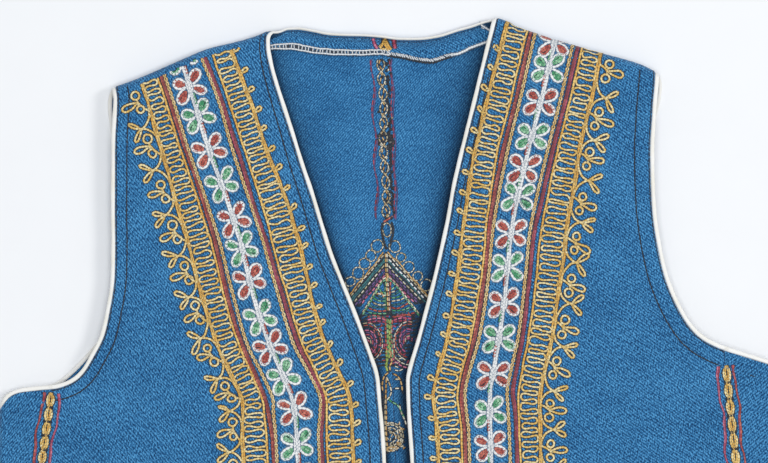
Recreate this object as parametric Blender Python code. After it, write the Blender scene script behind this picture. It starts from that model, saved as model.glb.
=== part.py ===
"""Embroidered folk vest laid flat on its back: two fronts, two back halves, neck facings, piped edges.

The vest lies on z = 0, with +X to the wearer's left, +Y towards the neck and +Z up.
Sizes are in millimetres until a mesh is made. Each half has its own pattern coordinates:
a, the distance from the centre line along the cloth, and h, the distance up from the hem.
The fronts roll over the shoulder line, and the back halves roll up at the shoulders, at the neck
and round the side fold, from which a strip of the back comes forward to the side seam.
"""

import math

import bmesh
import bpy
import numpy as np
from mathutils import Vector
from mathutils.geometry import delaunay_2d_cdt

MM = 0.001
LENGTH = 522.6  # hem to the highest point of the neck
WALL = 1.6  # wool twill
FACING_WALL = 1.2
SEAM = 0.3  # left between pieces that are sewn together
FACING_LIFT = 0.6  # clear of the back
FACING_SET_BACK = 0.6  # from the neck edge of the back
SHOULDER_ROLL = 7.0  # nominal radius of the cloth over the shoulder line
SIDE_ROLL = 4.5  # nominal radius of the side fold
SEAM_TURN = math.radians(120)  # from the top of the shoulder roll to the shoulder seam

# Piping: a folded strip, its width seen from above, and how deep its middle lies in the wall
NECK_PIPING = {"width": 2.7, "thick": 1.6, "depth": 0.8}
ARM_PIPING = {"width": 2.8, "thick": 1.7, "depth": 1.2}

# Places in the pattern that lie inside a panel, to tell which way an edge faces
INSIDE_FRONT = (150, 250)
INSIDE_ARM = (120, 350)
INSIDE_BACK = (60, 300)

# Linear base colours
WOOL = (0.042, 0.168, 0.366)
WOOL_INSIDE = (0.048, 0.180, 0.392)
IVORY = (0.855, 0.807, 0.680)

# Spacing of the mesh's points: over a panel, along its edges, and across and along a roll
FRONT_GRID = 13.4
BACK_GRID = 30.0
EDGE_STEP = 8.5
ARM_STEP = 6.0
ROLL_STEP = 3.4
SIDE_STEP = 1.7
ROLL_SPACING = 9.0
FOLD_SPACING = 18.0
SHOULDER_TURNS = np.radians(range(0, 121, 20))
FOLD_TURNS = np.radians(range(0, 181, 20))
RISE_SHARES = (0, 0.3, 0.6, 0.85)
FACING_SHARES = (-0.6, -0.3, 0, 0.3, 0.6, 0.85)
ROLL_LEAD = 2.0  # close points start this far before a roll
FOLD_LEAD = 0.3  # and this turn to each side of the fold
NEAR_EDGE = 40.0  # a front's outline nearer its front edge than this has the wide step
PANEL_INSET = (8, 8)  # the corner of a back half's points
FLAT_BACK = (252, 505)  # the part of a back half that lies flat
STRIP_START = (270, 6)  # the corner of the points on the strip of the back that comes round
FOLD_CURVE = {"lead": 8, "trim": 12}  # points of the armhole that its curve round the fold uses
MARGINS = {"front": 5.6, "back": 8.0, "roll": 1.1, "facing": 0.8}  # from the outline


def table(columns, *rows):
    """A table with named columns, as one array for each column."""
    return {name: np.array(column, float) for name, column in zip(columns.split(), zip(*rows))}


# Distance of the piped front edge from the centre line; h runs on along the cloth over the shoulder
FRONT_EDGE = table(
    "h right left",
    (0, 4.4, 12.4),
    (120, 4.8, 11.4),
    (231, 6.2, 9.9),
    (249, 6.8, 9.2),
    (268, 8.0, 8.7),
    (282, 8.7, 8.8),
    (289, 9.8, 10.2),
    (296, 11.9, 12.4),
    (309, 16.2, 16.8),
    (329, 23.0, 22.8),
    (349, 30.4, 28.7),
    (369, 37.6, 34.0),
    (390, 43.5, 39.2),
    (410, 48.9, 43.3),
    (430, 55.0, 48.5),
    (450, 60.5, 54.1),
    (470, 66.3, 59.8),
    (485, 70.6, 63.9),
    (499, 73.8, 67.8),
    (508, 75.0, 70.3),
    (513, 75.0, 71.8),
    (517.5, 73.6, 73.0),
    (521.5, 70.0, 74.0),
    (526, 64.0, 74.8),
    (534, 52.0, 75.6),
)

# Shoulder line seen from above, by distance from the centre line
SHOULDER_LINE = table(
    "a right left",
    (66, 518.8, 522.4),
    (72, 518.6, 522.9),
    (78, 518.1, 522.6),
    (84, 515.6, 520.4),
    (90, 514.2, 517.1),
    (100, 512.1, 512.8),
    (115, 508.7, 506.9),
    (135, 501.4, 500.7),
    (160, 491.4, 493.1),
    (175, 486.4, 487.5),
    (184, 483.6, 482.6),
    (192, 481.0, 477.5),
)

# Back neck seen from above, by share of the distance from the centre line to the neck point,
# with the radius at which the cloth rises to the edge and the turn that it has made there
BACK_NECK = table(
    "share right left roll turn",
    (0.00, 514.9, 514.9, 7.5, 72),
    (0.16, 516.2, 513.0, 7.5, 72),
    (0.32, 516.9, 512.7, 7.5, 68),
    (0.48, 517.9, 514.0, 7.5, 64),
    (0.65, 520.7, 517.6, 7.2, 64),
    (0.78, 522.3, 520.1, 6.8, 64),
    (0.86, 522.3, 522.1, 6.4, 66),
    (0.94, 520.3, 523.3, 6.1, 74),
    (1.00, 519.4, 523.6, 6.0, 90),
)
NECK_POINT = {"right": 73.0, "left": 78.0}

# Lower edge of the strip turned in along the back neck, and where its upper edge stops
FACING_EDGE = table(
    "a right left",
    (0, 501.1, 501.1),
    (15, 500.9, 498.2),
    (24, 501.3, 495.9),
    (33, 501.8, 494.8),
    (41, 502.6, 496.9),
    (46, 503.3, 498.3),
    (52, 504.5, 499.9),
    (58, 505.8, 502.2),
    (65, 506.5, 504.8),
    (72, 506.7, 507.1),
    (80, 506.4, 508.4),
)
FACING_END = {"right": 66.0, "left": 65.5}
FACING_SLANT = 0.75  # fall of the slanting end of the strip, by distance out
FACING_REACH = (76.5, 78.0)  # where the strip ends under the shoulder: above and below

# Armhole seen from above, from the side fold to the shoulder point, and how far the back's
# edge stands out past the front's
ARMHOLE = {
    "right": table(
        "a h shows",
        (263.6, 271.0, 0.0),
        (262.2, 276.4, -0.4),
        (259.3, 280.6, -0.8),
        (254.0, 283.6, -1.0),
        (247.3, 285.0, -1.2),
        (236.3, 285.9, -0.6),
        (225.5, 286.6, 1.2),
        (215.4, 290.0, 4.4),
        (208.2, 296.0, 4.8),
        (201.7, 306.0, 2.4),
        (194.8, 318.9, -0.6),
        (190.2, 336.5, -1.2),
        (186.9, 354.2, -1.2),
        (185.5, 378.0, -1.2),
        (185.0, 400.0, -1.2),
        (183.9, 430.0, -1.0),
        (183.1, 450.0, 0.4),
        (182.0, 462.0, 2.8),
        (181.3, 470.0, 4.1),
        (180.9, 477.0, 4.0),
        (181.8, 484.0, 2.0),
    ),
    "left": table(
        "a h shows",
        (265.5, 273.0, 0.0),
        (264.1, 279.0, -0.4),
        (260.4, 284.0, -0.8),
        (252.5, 287.7, -1.0),
        (234.6, 294.0, -1.2),
        (221.5, 298.7, -1.2),
        (209.4, 305.4, -1.2),
        (201.2, 314.0, -1.2),
        (194.3, 326.2, -1.2),
        (189.1, 338.7, -1.2),
        (185.5, 350.6, -1.2),
        (182.6, 366.4, -1.2),
        (180.3, 384.2, -1.2),
        (179.5, 404.0, -1.2),
        (179.7, 430.0, -1.2),
        (180.9, 446.0, -0.4),
        (182.0, 458.6, 2.0),
        (183.0, 467.0, 3.1),
        (184.0, 475.0, 3.0),
        (184.9, 484.0, 1.4),
    ),
}
SHOULDER_END = {"right": 179.8, "left": 182.5}  # of the shoulder seam at the armhole

# Side seam on the front, and the side fold outside it
SIDE = table(
    "h seam_right seam_left fold_right fold_left",
    (0, 250.0, 240.0, 279.0, 279.0),
    (110, 246.0, 234.5, 274.5, 275.0),
    (220, 238.0, 227.4, 267.5, 269.0),
    (290, 227.0, 222.4, 263.5, 265.5),
    (330, 224.0, 220.5, 262.5, 264.5),
)

# Height of the upper face above the surface: at the front edge, half way across and at the side
LOFT = table(
    "h edge middle side",
    (0, 6.2, 9.4, 9.0),
    (120, 6.4, 10.6, 9.2),
    (230, 6.6, 11.2, 9.4),
    (285, 7.0, 11.6, 9.7),
    (350, 8.0, 12.0, 10.4),
    (420, 9.6, 12.8, 12.0),
    (470, 11.0, 13.8, 13.4),
    (500, 12.0, 14.4, 14.0),
    (540, 12.2, 14.6, 14.2),
)
LOFT_WIDTH = table("h side", (0, 279), (270, 265), (350, 228), (420, 198), (480, 184), (540, 184))

# Soft troughs in the fronts, from end to end
CREASES = table(
    "sign a0 h0 a1 h1 depth width",
    (1, 194, 318, 213, 70, 2.2, 11),
    (-1, 226, 262, 236, 95, 1.2, 9),
    (-1, 150, 230, 172, 20, 1.3, 15),
    (1, 92, 190, 118, 15, 1.4, 16),
    (-1, 168, 420, 150, 330, 0.7, 12),
    (1, 160, 470, 148, 372, 0.8, 13),
)


def smooth(at, xs, ys):
    """A cubic through the points that doesn't overshoot, and goes on straight past its ends."""
    at = np.asarray(at, float)
    steps = np.diff(xs)
    rises = np.diff(ys) / steps
    slopes = np.concatenate([rises[:1], np.zeros(len(xs) - 2), rises[-1:]])
    same_way = rises[:-1] * rises[1:] > 0
    mean = 2 * rises[:-1] * rises[1:] / np.where(same_way, rises[:-1] + rises[1:], 1)
    slopes[1:-1] = np.where(same_way, mean, 0)
    i = np.clip(np.searchsorted(xs, at, side="right") - 1, 0, len(xs) - 2)
    t = np.clip((at - xs[i]) / steps[i], 0, 1)
    inside = (
        ys[i] * (1 + 2 * t) * (1 - t) ** 2
        + ys[i + 1] * t**2 * (3 - 2 * t)
        + steps[i] * t * (1 - t) * (slopes[i] * (1 - t) - slopes[i + 1] * t)
    )
    past = slopes[0] * np.minimum(at - xs[0], 0) + slopes[-1] * np.maximum(at - xs[-1], 0)
    return inside + past


def curve(points, per_span=12):
    """A rounded line through the points (Catmull-Rom)."""
    points = np.asarray(points, float)
    ends = np.vstack([2 * points[0] - points[1], points, 2 * points[-1] - points[-2]])
    made = []
    for before, start, end, after in zip(ends, ends[1:], ends[2:], ends[3:]):
        t = np.linspace(0, 1, per_span, endpoint=False)[:, None]
        made.append(
            start
            + 0.5 * t * (end - before)
            + t**2 * (before - 2.5 * start + 2 * end - 0.5 * after)
            + 0.5 * t**3 * (3 * start - before - 3 * end + after)
        )
    return np.vstack(made + [points[-1:]])


def lengths(points):
    return np.concatenate([[0], np.cumsum(np.linalg.norm(np.diff(points, axis=0), axis=1))])


def spaced(points, step):
    """The line with its points about one step apart."""
    along = lengths(points)
    count = max(2, math.ceil(along[-1] / step) + 1)
    at = np.linspace(0, along[-1], count)
    return np.stack([np.interp(at, along, points[:, i]) for i in range(points.shape[1])], axis=1)


def outward(points, away_from):
    """Unit normals along a line in the pattern, pointing away from a place inside the panel."""
    along = np.gradient(points, axis=0)
    normals = np.stack([along[:, 1], -along[:, 0]], axis=1)
    normals /= np.linalg.norm(normals, axis=1)[:, None]
    middle = len(points) // 2
    inward = np.dot(normals[middle], np.asarray(away_from) - points[middle]) > 0
    return -normals if inward else normals


class Half:
    """One side of the vest, with the lines of its pattern and the way its cloth lies."""

    def __init__(self, side):
        self.side = side
        self.sign = {"right": -1, "left": 1}[side]
        self.neck_point = NECK_POINT[side]

    def front_edge(self, h):
        return smooth(h, FRONT_EDGE["h"], FRONT_EDGE[self.side])

    def side_seam(self, h):
        return smooth(h, SIDE["h"], SIDE["seam_" + self.side])

    def side_fold(self, h):
        return smooth(h, SIDE["h"], SIDE["fold_" + self.side])

    def loft(self, a, h):
        """Height of the upper face of a front, with its troughs."""
        near = np.minimum(self.front_edge(np.minimum(h, 505)), 80)
        far = smooth(h, LOFT_WIDTH["h"], LOFT_WIDTH["side"])
        s = np.clip((a - near) / (far - near), 0, 1)
        edge, middle, side = (smooth(h, LOFT["h"], LOFT[name]) for name in ("edge", "middle", "side"))
        z = edge * (1 - s) * (1 - 2 * s) + 4 * middle * s * (1 - s) + side * s * (2 * s - 1)
        for sign, a0, h0, a1, h1, depth, width in zip(*CREASES.values()):
            if sign == self.sign:
                along = np.array([a1 - a0, h1 - h0])
                long = np.linalg.norm(along)
                share = ((a - a0) * along[0] + (h - h0) * along[1]) / long**2
                off = ((a - a0) * along[1] - (h - h0) * along[0]) / long
                fade = np.sin(math.pi * np.clip(share, 0, 1))
                z = z - depth * np.exp(-((off / width) ** 2)) * fade
        return z

    def shoulder_line(self, a):
        return smooth(a, SHOULDER_LINE["a"], SHOULDER_LINE[self.side])

    def seam_turn(self, a):
        """The shoulder seam starts half way round the roll at the neck and soon lies behind it."""
        return math.pi / 2 + (SEAM_TURN - math.pi / 2) * np.clip((a - self.neck_point) / 22, 0, 1)

    def rise(self, a):
        """(axis, radius, turn at the edge) of the roll at the top of a back half."""
        line = self.shoulder_line(a)
        radius = self.loft(a, line - SHOULDER_ROLL) / 2
        share = a / self.neck_point
        neck_radius = smooth(share, BACK_NECK["share"], BACK_NECK["roll"])
        neck_turn = np.radians(smooth(share, BACK_NECK["share"], BACK_NECK["turn"]))
        reach = (SEAM + NECK_PIPING["width"]) * np.cos(neck_turn)
        reach = reach + NECK_PIPING["thick"] / 2 * np.sin(neck_turn)
        neck = smooth(share, BACK_NECK["share"], BACK_NECK[self.side]) - reach
        in_neck = a < self.neck_point
        axis = np.where(in_neck, neck - neck_radius * np.sin(neck_turn), line - radius)
        radius = np.where(in_neck, neck_radius, radius)
        return axis, radius, np.where(in_neck, neck_turn, math.pi - self.seam_turn(a))

    def top_roll(self, a):
        """(axis, radius) of the roll of a front over the shoulder line."""
        line = self.shoulder_line(a)
        radius = self.loft(a, line - SHOULDER_ROLL) / 2
        return line - radius, radius

    def side_roll(self, h):
        """(axis, radius) of the roll of the back round the side fold."""
        radius = self.loft(self.side_fold(h) - SIDE_ROLL, h) / 2
        return self.side_fold(h) - radius, radius

    def place(self, a, y, z):
        return np.stack([self.sign * a, y - LENGTH / 2, z], axis=-1)

    def front(self, a, h, depth):
        """Where a point of a front's pattern lies, this far into the wall."""
        axis, radius = self.top_roll(a)
        turn = np.maximum(h - axis, 0) / radius
        y = np.minimum(h, axis) + (radius - depth) * np.sin(turn)
        top = self.loft(a, np.minimum(h, axis))
        return self.place(a, y, top - radius + (radius - depth) * np.cos(turn))

    def back(self, a, h, depth):
        """Where a point of a back half's pattern lies, this far into the wall."""
        axis, radius, _ = self.rise(a)
        turn = np.maximum(h - axis, 0) / radius
        y = np.minimum(h, axis) + (radius - depth) * np.sin(turn)
        rise = radius - (radius - depth) * np.cos(turn)
        side_axis, side_radius = self.side_roll(h)
        side_turn = np.clip((a - side_axis) / side_radius, 0, math.pi)
        forward = np.maximum(a - side_axis - math.pi * side_radius, 0)
        across = np.minimum(a, side_axis) + (side_radius - depth) * np.sin(side_turn) - forward
        low = side_radius - (side_radius - depth) * np.cos(side_turn)
        upper = self.loft(across, h) - depth
        z = np.where(forward > 0, upper, np.where(a > side_axis, low, rise))
        return self.place(across, y, z)

    def round_side(self, across, h):
        """The pattern's a of a point on the strip of the back that has come round the side fold."""
        axis, radius = self.side_roll(h)
        return axis + math.pi * radius + axis - across

    def armhole(self, behind=False):
        """An armhole edge seen from above, without its piping, from the side fold to the shoulder."""
        rows = ARMHOLE[self.side]
        line = curve(np.stack([rows["a"], rows["h"], rows["shows"]], axis=1))
        line, shows = line[:, :2], line[:, 2:]
        out = (shows if behind else 0) - ARM_PIPING["width"] - SEAM
        return line + outward(line, INSIDE_ARM) * out

    def over_shoulder(self, armhole, axis, turn, radius):
        """The armhole edge taken on over the shoulder roll to the end of the shoulder seam."""
        armhole = armhole[armhole[:, 1] < axis(armhole[:, 0])]
        last = SHOULDER_END[self.side]
        end = axis(last) + turn * radius(last) - SEAM / 2
        return np.vstack([armhole, [last, end]])

    def front_outline(self):
        """Named stretches of a front's outline, in order round it."""
        h = np.linspace(0, LENGTH + 12, 300)
        outer = np.stack([self.front_edge(h), h], axis=1)
        edge = outer - outward(outer, INSIDE_FRONT) * (NECK_PIPING["width"] + SEAM)
        edge[0, 1] = 0
        a = edge[:, 0]
        over = edge[:, 1] - self.top_roll(a)[0] - self.seam_turn(a) * self.top_roll(a)[1] + SEAM / 2
        past = np.argmax(over > 0)
        share = over[past - 1] / (over[past - 1] - over[past])
        crossing = edge[past - 1] + share * (edge[past] - edge[past - 1])
        edge = np.vstack([edge[:past], crossing])
        armhole = self.armhole()
        armhole = armhole[armhole[:, 0] < self.side_seam(armhole[:, 1]) - SEAM / 2]
        axis, radius = (lambda a, i=i: self.top_roll(a)[i] for i in (0, 1))
        armhole = self.over_shoulder(armhole, axis, SEAM_TURN, radius)
        a = np.linspace(armhole[-1, 0], crossing[0], 40)
        shoulder = np.stack([a, axis(a) + self.seam_turn(a) * radius(a) - SEAM / 2], axis=1)
        armhole[0, 0] = self.side_seam(armhole[0, 1]) - SEAM / 2
        h = np.linspace(0, armhole[0, 1], 40)
        seam = np.stack([self.side_seam(h) - SEAM / 2, h], axis=1)
        hem = np.array([edge[0], seam[0]])
        return {"hem": hem, "seam": seam, "armhole": armhole, "shoulder": shoulder, "edge": edge[::-1]}

    def back_outline(self):
        """Named stretches of a back half's outline, in order round it."""
        in_front = self.armhole()
        axis, radius = self.side_roll(in_front[0, 1])
        in_front = in_front[in_front[:, 0] < axis - 1]
        in_front = in_front[in_front[:, 0] > self.side_seam(in_front[:, 1]) + SEAM / 2]
        in_front[:, 0] = self.round_side(in_front[:, 0], in_front[:, 1])
        behind = self.armhole(behind=True)
        behind = behind[behind[:, 0] < axis - 1]
        lowest = [axis + math.pi / 2 * radius, self.armhole()[0, 1]]
        lead = FOLD_CURVE["lead"]
        fold = curve([in_front[lead], in_front[0], lowest, behind[0], behind[lead]])
        fold = fold[FOLD_CURVE["trim"] : -FOLD_CURVE["trim"]]
        axis, radius = (lambda a, i=i: self.rise(a)[i] for i in (0, 1))
        behind = self.over_shoulder(behind, axis, math.pi - SEAM_TURN, radius)
        a = np.linspace(behind[-1, 0], self.neck_point, 40)
        turn = math.pi - self.seam_turn(a)
        shoulder = np.stack([a, axis(a) + turn * radius(a) - SEAM / 2], axis=1)
        a = np.linspace(self.neck_point, SEAM / 2, 90)
        neck = np.stack([a, axis(a) + self.rise(a)[2] * radius(a)], axis=1)
        neck[0] = shoulder[-1]
        h = np.linspace(0, in_front[-1, 1], 40)
        seam = np.stack([self.round_side(self.side_seam(h) + SEAM / 2, h), h], axis=1)
        seam[-1] = in_front[-1]
        hem = np.array([[SEAM / 2, 0], seam[0]])
        return {
            "hem": hem,
            "seam": seam,
            "armhole": np.vstack([in_front[::-1], fold[1:-1], behind]),
            "shoulder": shoulder,
            "neck": neck,
            "centre": np.array([neck[-1], hem[0]]),
        }

    def facing_outline(self):
        """The strip turned in along half of the back neck, cut slanting under the shoulder."""
        a = np.linspace(SEAM / 2, FACING_END[self.side], 24)
        axis, radius, turn = self.rise(a)
        upper = np.stack([a, axis + turn * radius - FACING_SET_BACK], axis=1)
        far = FACING_REACH[0]
        slant = np.array([[far, upper[-1, 1] - FACING_SLANT * (far - upper[-1, 0])]])
        a = np.linspace(FACING_REACH[1], SEAM / 2, 24)
        lower = np.stack([a, smooth(a, FACING_EDGE["a"], FACING_EDGE[self.side])], axis=1)
        return {
            "upper": upper,
            "slant": np.vstack([upper[-1], slant, lower[0]]),
            "lower": lower,
            "centre": np.array([lower[-1], upper[0]]),
        }


def stepped(outline, step_at):
    """The stretches of a closed outline, with points as far apart as step_at says."""
    made = {}
    for name, stretch in outline.items():
        fine = spaced(stretch, 0.25)
        along = np.cumsum(0.25 / step_at(fine))
        marks = np.linspace(along[0], along[-1], max(1, round(along[-1] - along[0])) + 1)
        made[name] = np.stack([np.interp(marks, along, fine[:, i]) for i in (0, 1)], axis=1)
    return made


def closed(stretches):
    return np.vstack([stretch[:-1] for stretch in stretches.values()])


def clear_of(points, line, margin):
    """The points that lie inside the closed line and at least margin (each) from it."""
    ends = np.roll(line, -1, axis=0)
    x, y = points[:, :1], points[:, 1:]
    low, high = line[None, :, 1], ends[None, :, 1]
    with np.errstate(divide="ignore", invalid="ignore"):
        cut = line[None, :, 0] + (y - low) / (high - low) * (ends[None, :, 0] - line[None, :, 0])
    crossings = ((low > y) != (high > y)) & (x < cut)
    inside = crossings.sum(axis=1) % 2 == 1
    along = ends - line
    share = np.einsum("pkc,kc->pk", points[:, None] - line[None], along) / (along**2).sum(axis=1)
    nearest = line[None] + np.clip(share, 0, 1)[..., None] * along[None]
    off = np.linalg.norm(points[:, None] - nearest, axis=2).min(axis=1)
    return points[inside & (off > margin)]


def lattice(low, high, step):
    """Staggered points over a rectangle."""
    made = []
    for row, h in enumerate(np.arange(low[1], high[1], step * 0.87)):
        a = np.arange(low[0] + (row % 2) * step / 2, high[0], step)
        made.append(np.stack([a, np.full_like(a, h)], axis=1))
    return np.vstack(made)


def new_object(name, builder, colour, roughness):
    bmesh.ops.recalc_face_normals(builder, faces=builder.faces)
    mesh = bpy.data.meshes.new(name)
    for face in builder.faces:
        face.smooth = True
    builder.to_mesh(mesh)
    builder.free()
    made = bpy.data.objects.new(name, mesh)
    bpy.context.scene.collection.objects.link(made)
    material = bpy.data.materials.new(name)
    material.use_nodes = True
    shader = material.node_tree.nodes["Principled BSDF"]
    shader.inputs["Base Color"].default_value = (*colour, 1)
    shader.inputs["Roughness"].default_value = roughness
    shader.inputs["Metallic"].default_value = 0
    mesh.materials.append(material)
    return made


def cloth(name, line, inside, place, faces_at, colour):
    """A wall over the pattern inside a closed line, between the two depths of faces_at."""
    corners = [Vector(point) for point in np.vstack([line, inside])]
    ring = [(i, (i + 1) % len(line)) for i in range(len(line))]
    flat, _, triangles = delaunay_2d_cdt(corners, ring, [], 1, 1e-6)[:3]
    flat = np.array([tuple(point) for point in flat])
    builder = bmesh.new()
    layers = []
    for depth in faces_at:
        spots = place(flat[:, 0], flat[:, 1], depth) * MM
        layers.append([builder.verts.new(spot) for spot in spots])
    used = {}
    for triangle in triangles:
        for i in range(3):
            used.setdefault(frozenset((triangle[i], triangle[i - 1])), []).append(triangle)
        builder.faces.new([layers[0][i] for i in triangle])
        builder.faces.new([layers[1][i] for i in reversed(triangle)])
    for edge, sides in used.items():
        if len(sides) == 1:
            start, end = edge
            builder.faces.new([layers[0][start], layers[0][end], layers[1][end], layers[1][start]])
    loose = [vert for vert in builder.verts if not vert.link_faces]
    bmesh.ops.delete(builder, geom=loose, context="VERTS")
    bmesh.ops.triangulate(builder, faces=builder.faces)
    return new_object(name, builder, colour, 0.95)


def piping_run(line, inner_place, place, piping):
    """(points, directions out of the panel) along a stretch of its edge, for its piping."""
    points = place(line[:, 0], line[:, 1], piping["depth"])
    beyond = line + outward(line, inner_place) * piping["width"]
    return points, place(beyond[:, 0], beyond[:, 1], piping["depth"]) - points


def piping_strip(name, points, across, piping, closed, colour):
    """A flattened tube beside the points of an edge, its ends capped unless it is closed."""
    if closed:
        tangents = np.roll(points, -1, axis=0) - np.roll(points, 1, axis=0)
    else:
        tangents = np.gradient(points, axis=0)
    tangents /= np.linalg.norm(tangents, axis=1)[:, None]
    up = np.cross(tangents, across)
    up /= np.linalg.norm(up, axis=1)[:, None]
    across = np.cross(tangents, up) * np.sign((np.cross(tangents, up) * across).sum(axis=1))[:, None]
    w, t = piping["width"] / 2, piping["thick"] / 2
    middles = points + across * (SEAM + w)
    section = [(w, 0), (0.5 * w, 0.92 * t), (-0.6 * w, t), (-w, 0), (-0.6 * w, -t), (0.5 * w, -0.92 * t)]
    builder = bmesh.new()
    rings = []
    for middle, out, over in zip(middles, across, up):
        rings.append([builder.verts.new((middle + out * p + over * q) * MM) for p, q in section])
    spans = list(zip(rings, rings[1:] + rings[:1]))
    if not closed:
        spans = spans[:-1]
        builder.faces.new(rings[0])
        builder.faces.new(rings[-1])
    for ring, following in spans:
        for i in range(len(section)):
            builder.faces.new([ring[i - 1], ring[i], following[i], following[i - 1]])
    bmesh.ops.triangulate(builder, faces=builder.faces)
    return new_object(name, builder, colour, 0.8)


def roll_rows(along, axis, radius, turns):
    """Rows of pattern points (along, distance), one for each turn round a roll."""
    return np.vstack([np.stack([along, axis + turn * radius], axis=1) for turn in turns])


def front_step(half):
    """A function that says how far apart the points of a front's outline are."""

    def step_at(points):
        on_roll = points[:, 1] > half.top_roll(points[:, 0])[0] - ROLL_LEAD
        at_arm = points[:, 0] > half.front_edge(points[:, 1]) + NEAR_EDGE
        return np.where(on_roll, ROLL_STEP, np.where(at_arm, ARM_STEP, EDGE_STEP))

    return step_at


def back_step(half):
    """A function that says how far apart the points of a back half's outline are."""

    def step_at(points):
        axis, radius = half.side_roll(points[:, 1])
        past = (points[:, 0] - axis) / radius
        on_fold = (past > -FOLD_LEAD) & (past < math.pi + FOLD_LEAD)
        on_roll = points[:, 1] > half.rise(points[:, 0])[0] - ROLL_LEAD
        return np.where(on_fold, SIDE_STEP, np.where(on_roll, ROLL_STEP, ARM_STEP))

    return step_at


def make_front(half, outline):
    line = closed(outline)
    grid = lattice(line.min(axis=0), line.max(axis=0), FRONT_GRID)
    grid = grid[grid[:, 1] < half.top_roll(grid[:, 0])[0] - FRONT_GRID / 2]
    a = np.arange(half.neck_point, line[:, 0].max(), ROLL_SPACING)
    over = roll_rows(a, *half.top_roll(a), SHOULDER_TURNS)
    inside = np.vstack([clear_of(grid, line, MARGINS["front"]), clear_of(over, line, MARGINS["roll"])])
    cloth("front_" + half.side, line, inside, half.front, (0, WALL), WOOL)


def make_back(half, outline):
    """Close rows of points take a back half up at its top and round its side fold."""
    line = closed(outline)
    flat = clear_of(lattice(PANEL_INSET, FLAT_BACK, BACK_GRID), line, MARGINS["back"])
    a = np.arange(ROLL_SPACING / 3, half.armhole()[-1, 0], ROLL_SPACING)
    axis, radius, turn = half.rise(a)
    top = clear_of(roll_rows(a, axis, turn * radius, RISE_SHARES), line, MARGINS["roll"])
    h = np.arange(ROLL_SPACING, half.armhole()[0, 1] + ROLL_SPACING, FOLD_SPACING)
    fold = clear_of(roll_rows(h, *half.side_roll(h), FOLD_TURNS)[:, ::-1], line, MARGINS["roll"])
    strip = lattice(STRIP_START, line.max(axis=0), FRONT_GRID)
    strip = strip[strip[:, 0] > half.side_roll(strip[:, 1])[0] + math.pi * SIDE_ROLL + FRONT_GRID / 2]
    strip = clear_of(strip, line, MARGINS["front"])
    inside = np.vstack([flat, top, fold, strip])
    cloth("back_" + half.side, line, inside, half.back, (0, WALL), WOOL)


def make_facing(half):
    """The turned-in strip, on the same rows of points as the top of the back."""
    outline = stepped(half.facing_outline(), lambda points: np.full(len(points), ROLL_STEP))
    line = closed(outline)
    a = np.arange(ROLL_SPACING / 3, half.neck_point, ROLL_SPACING)
    axis, radius, turn = half.rise(a)
    inside = clear_of(roll_rows(a, axis, turn * radius, FACING_SHARES), line, MARGINS["facing"])
    depths = (WALL + FACING_LIFT, WALL + FACING_LIFT + FACING_WALL)
    cloth("neck_facing_" + half.side, line, inside, half.back, depths, WOOL_INSIDE)


def make_armhole_piping(half, front, back):
    """Once round the armhole: up the front, over the shoulder and down the back."""
    up = piping_run(front["armhole"], INSIDE_ARM, half.front, ARM_PIPING)
    down = piping_run(back["armhole"][::-1], INSIDE_ARM, half.back, ARM_PIPING)
    points, across = (np.vstack([before, after[:-1]]) for before, after in zip(up, down))
    piping_strip("armhole_piping_" + half.side, points, across, ARM_PIPING, True, IVORY)


def half_of_edge(half, front, back):
    """(points, directions) of the edge from the hem up a front and along its half of the back neck."""
    up = piping_run(front["edge"][::-1], INSIDE_FRONT, half.front, NECK_PIPING)
    along = piping_run(back["neck"], INSIDE_BACK, half.back, NECK_PIPING)
    return [np.vstack([before, after[1:]]) for before, after in zip(up, along)]


for old in list(bpy.data.objects):
    bpy.data.objects.remove(old, do_unlink=True)

edges = {}
for side in ("right", "left"):
    half = Half(side)
    front = stepped(half.front_outline(), front_step(half))
    back = stepped(half.back_outline(), back_step(half))
    make_front(half, front)
    make_back(half, back)
    make_facing(half)
    make_armhole_piping(half, front, back)
    edges[side] = half_of_edge(half, front, back)

# Piping along both front edges and the back neck, in one length from hem to hem
points, across = (np.vstack([up, down[::-1]]) for up, down in zip(edges["right"], edges["left"]))
piping_strip("edge_piping", points, across, NECK_PIPING, False, IVORY)
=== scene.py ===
"""Looks of the embroidered folk vest laid flat: wool twill, ivory piping and chain stitches.

Sizes are in millimetres until a mesh is made. Each half of the vest has its own pattern
coordinates: a, the distance from the centre line along the cloth, and h, the distance up from
the hem. +X is the wearer's left, +Y the way to the neck, and the vest lies on z = 0.
"""

import functools
import math

import bmesh
import bpy
import numpy as np
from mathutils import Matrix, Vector
from mathutils.geometry import delaunay_2d_cdt


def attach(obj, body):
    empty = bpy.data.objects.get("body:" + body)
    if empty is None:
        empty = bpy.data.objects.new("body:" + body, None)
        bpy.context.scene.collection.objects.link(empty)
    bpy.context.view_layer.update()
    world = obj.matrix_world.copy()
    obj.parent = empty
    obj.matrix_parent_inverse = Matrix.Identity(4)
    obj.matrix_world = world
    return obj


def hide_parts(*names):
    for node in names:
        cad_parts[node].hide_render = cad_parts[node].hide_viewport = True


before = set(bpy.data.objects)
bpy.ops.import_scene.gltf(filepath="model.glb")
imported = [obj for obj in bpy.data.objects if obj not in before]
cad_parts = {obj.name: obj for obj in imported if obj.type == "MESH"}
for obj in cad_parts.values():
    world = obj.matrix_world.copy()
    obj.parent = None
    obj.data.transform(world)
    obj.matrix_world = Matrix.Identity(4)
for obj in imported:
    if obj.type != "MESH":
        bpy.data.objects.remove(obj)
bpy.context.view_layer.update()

MM = 0.001
RNG = np.random.default_rng(7)
SIDES = ("right", "left")


def table(columns, *rows):
    """A table with named columns, as one array for each column."""
    return {name: np.array(column) for name, column in zip(columns.split(), zip(*rows))}


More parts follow.
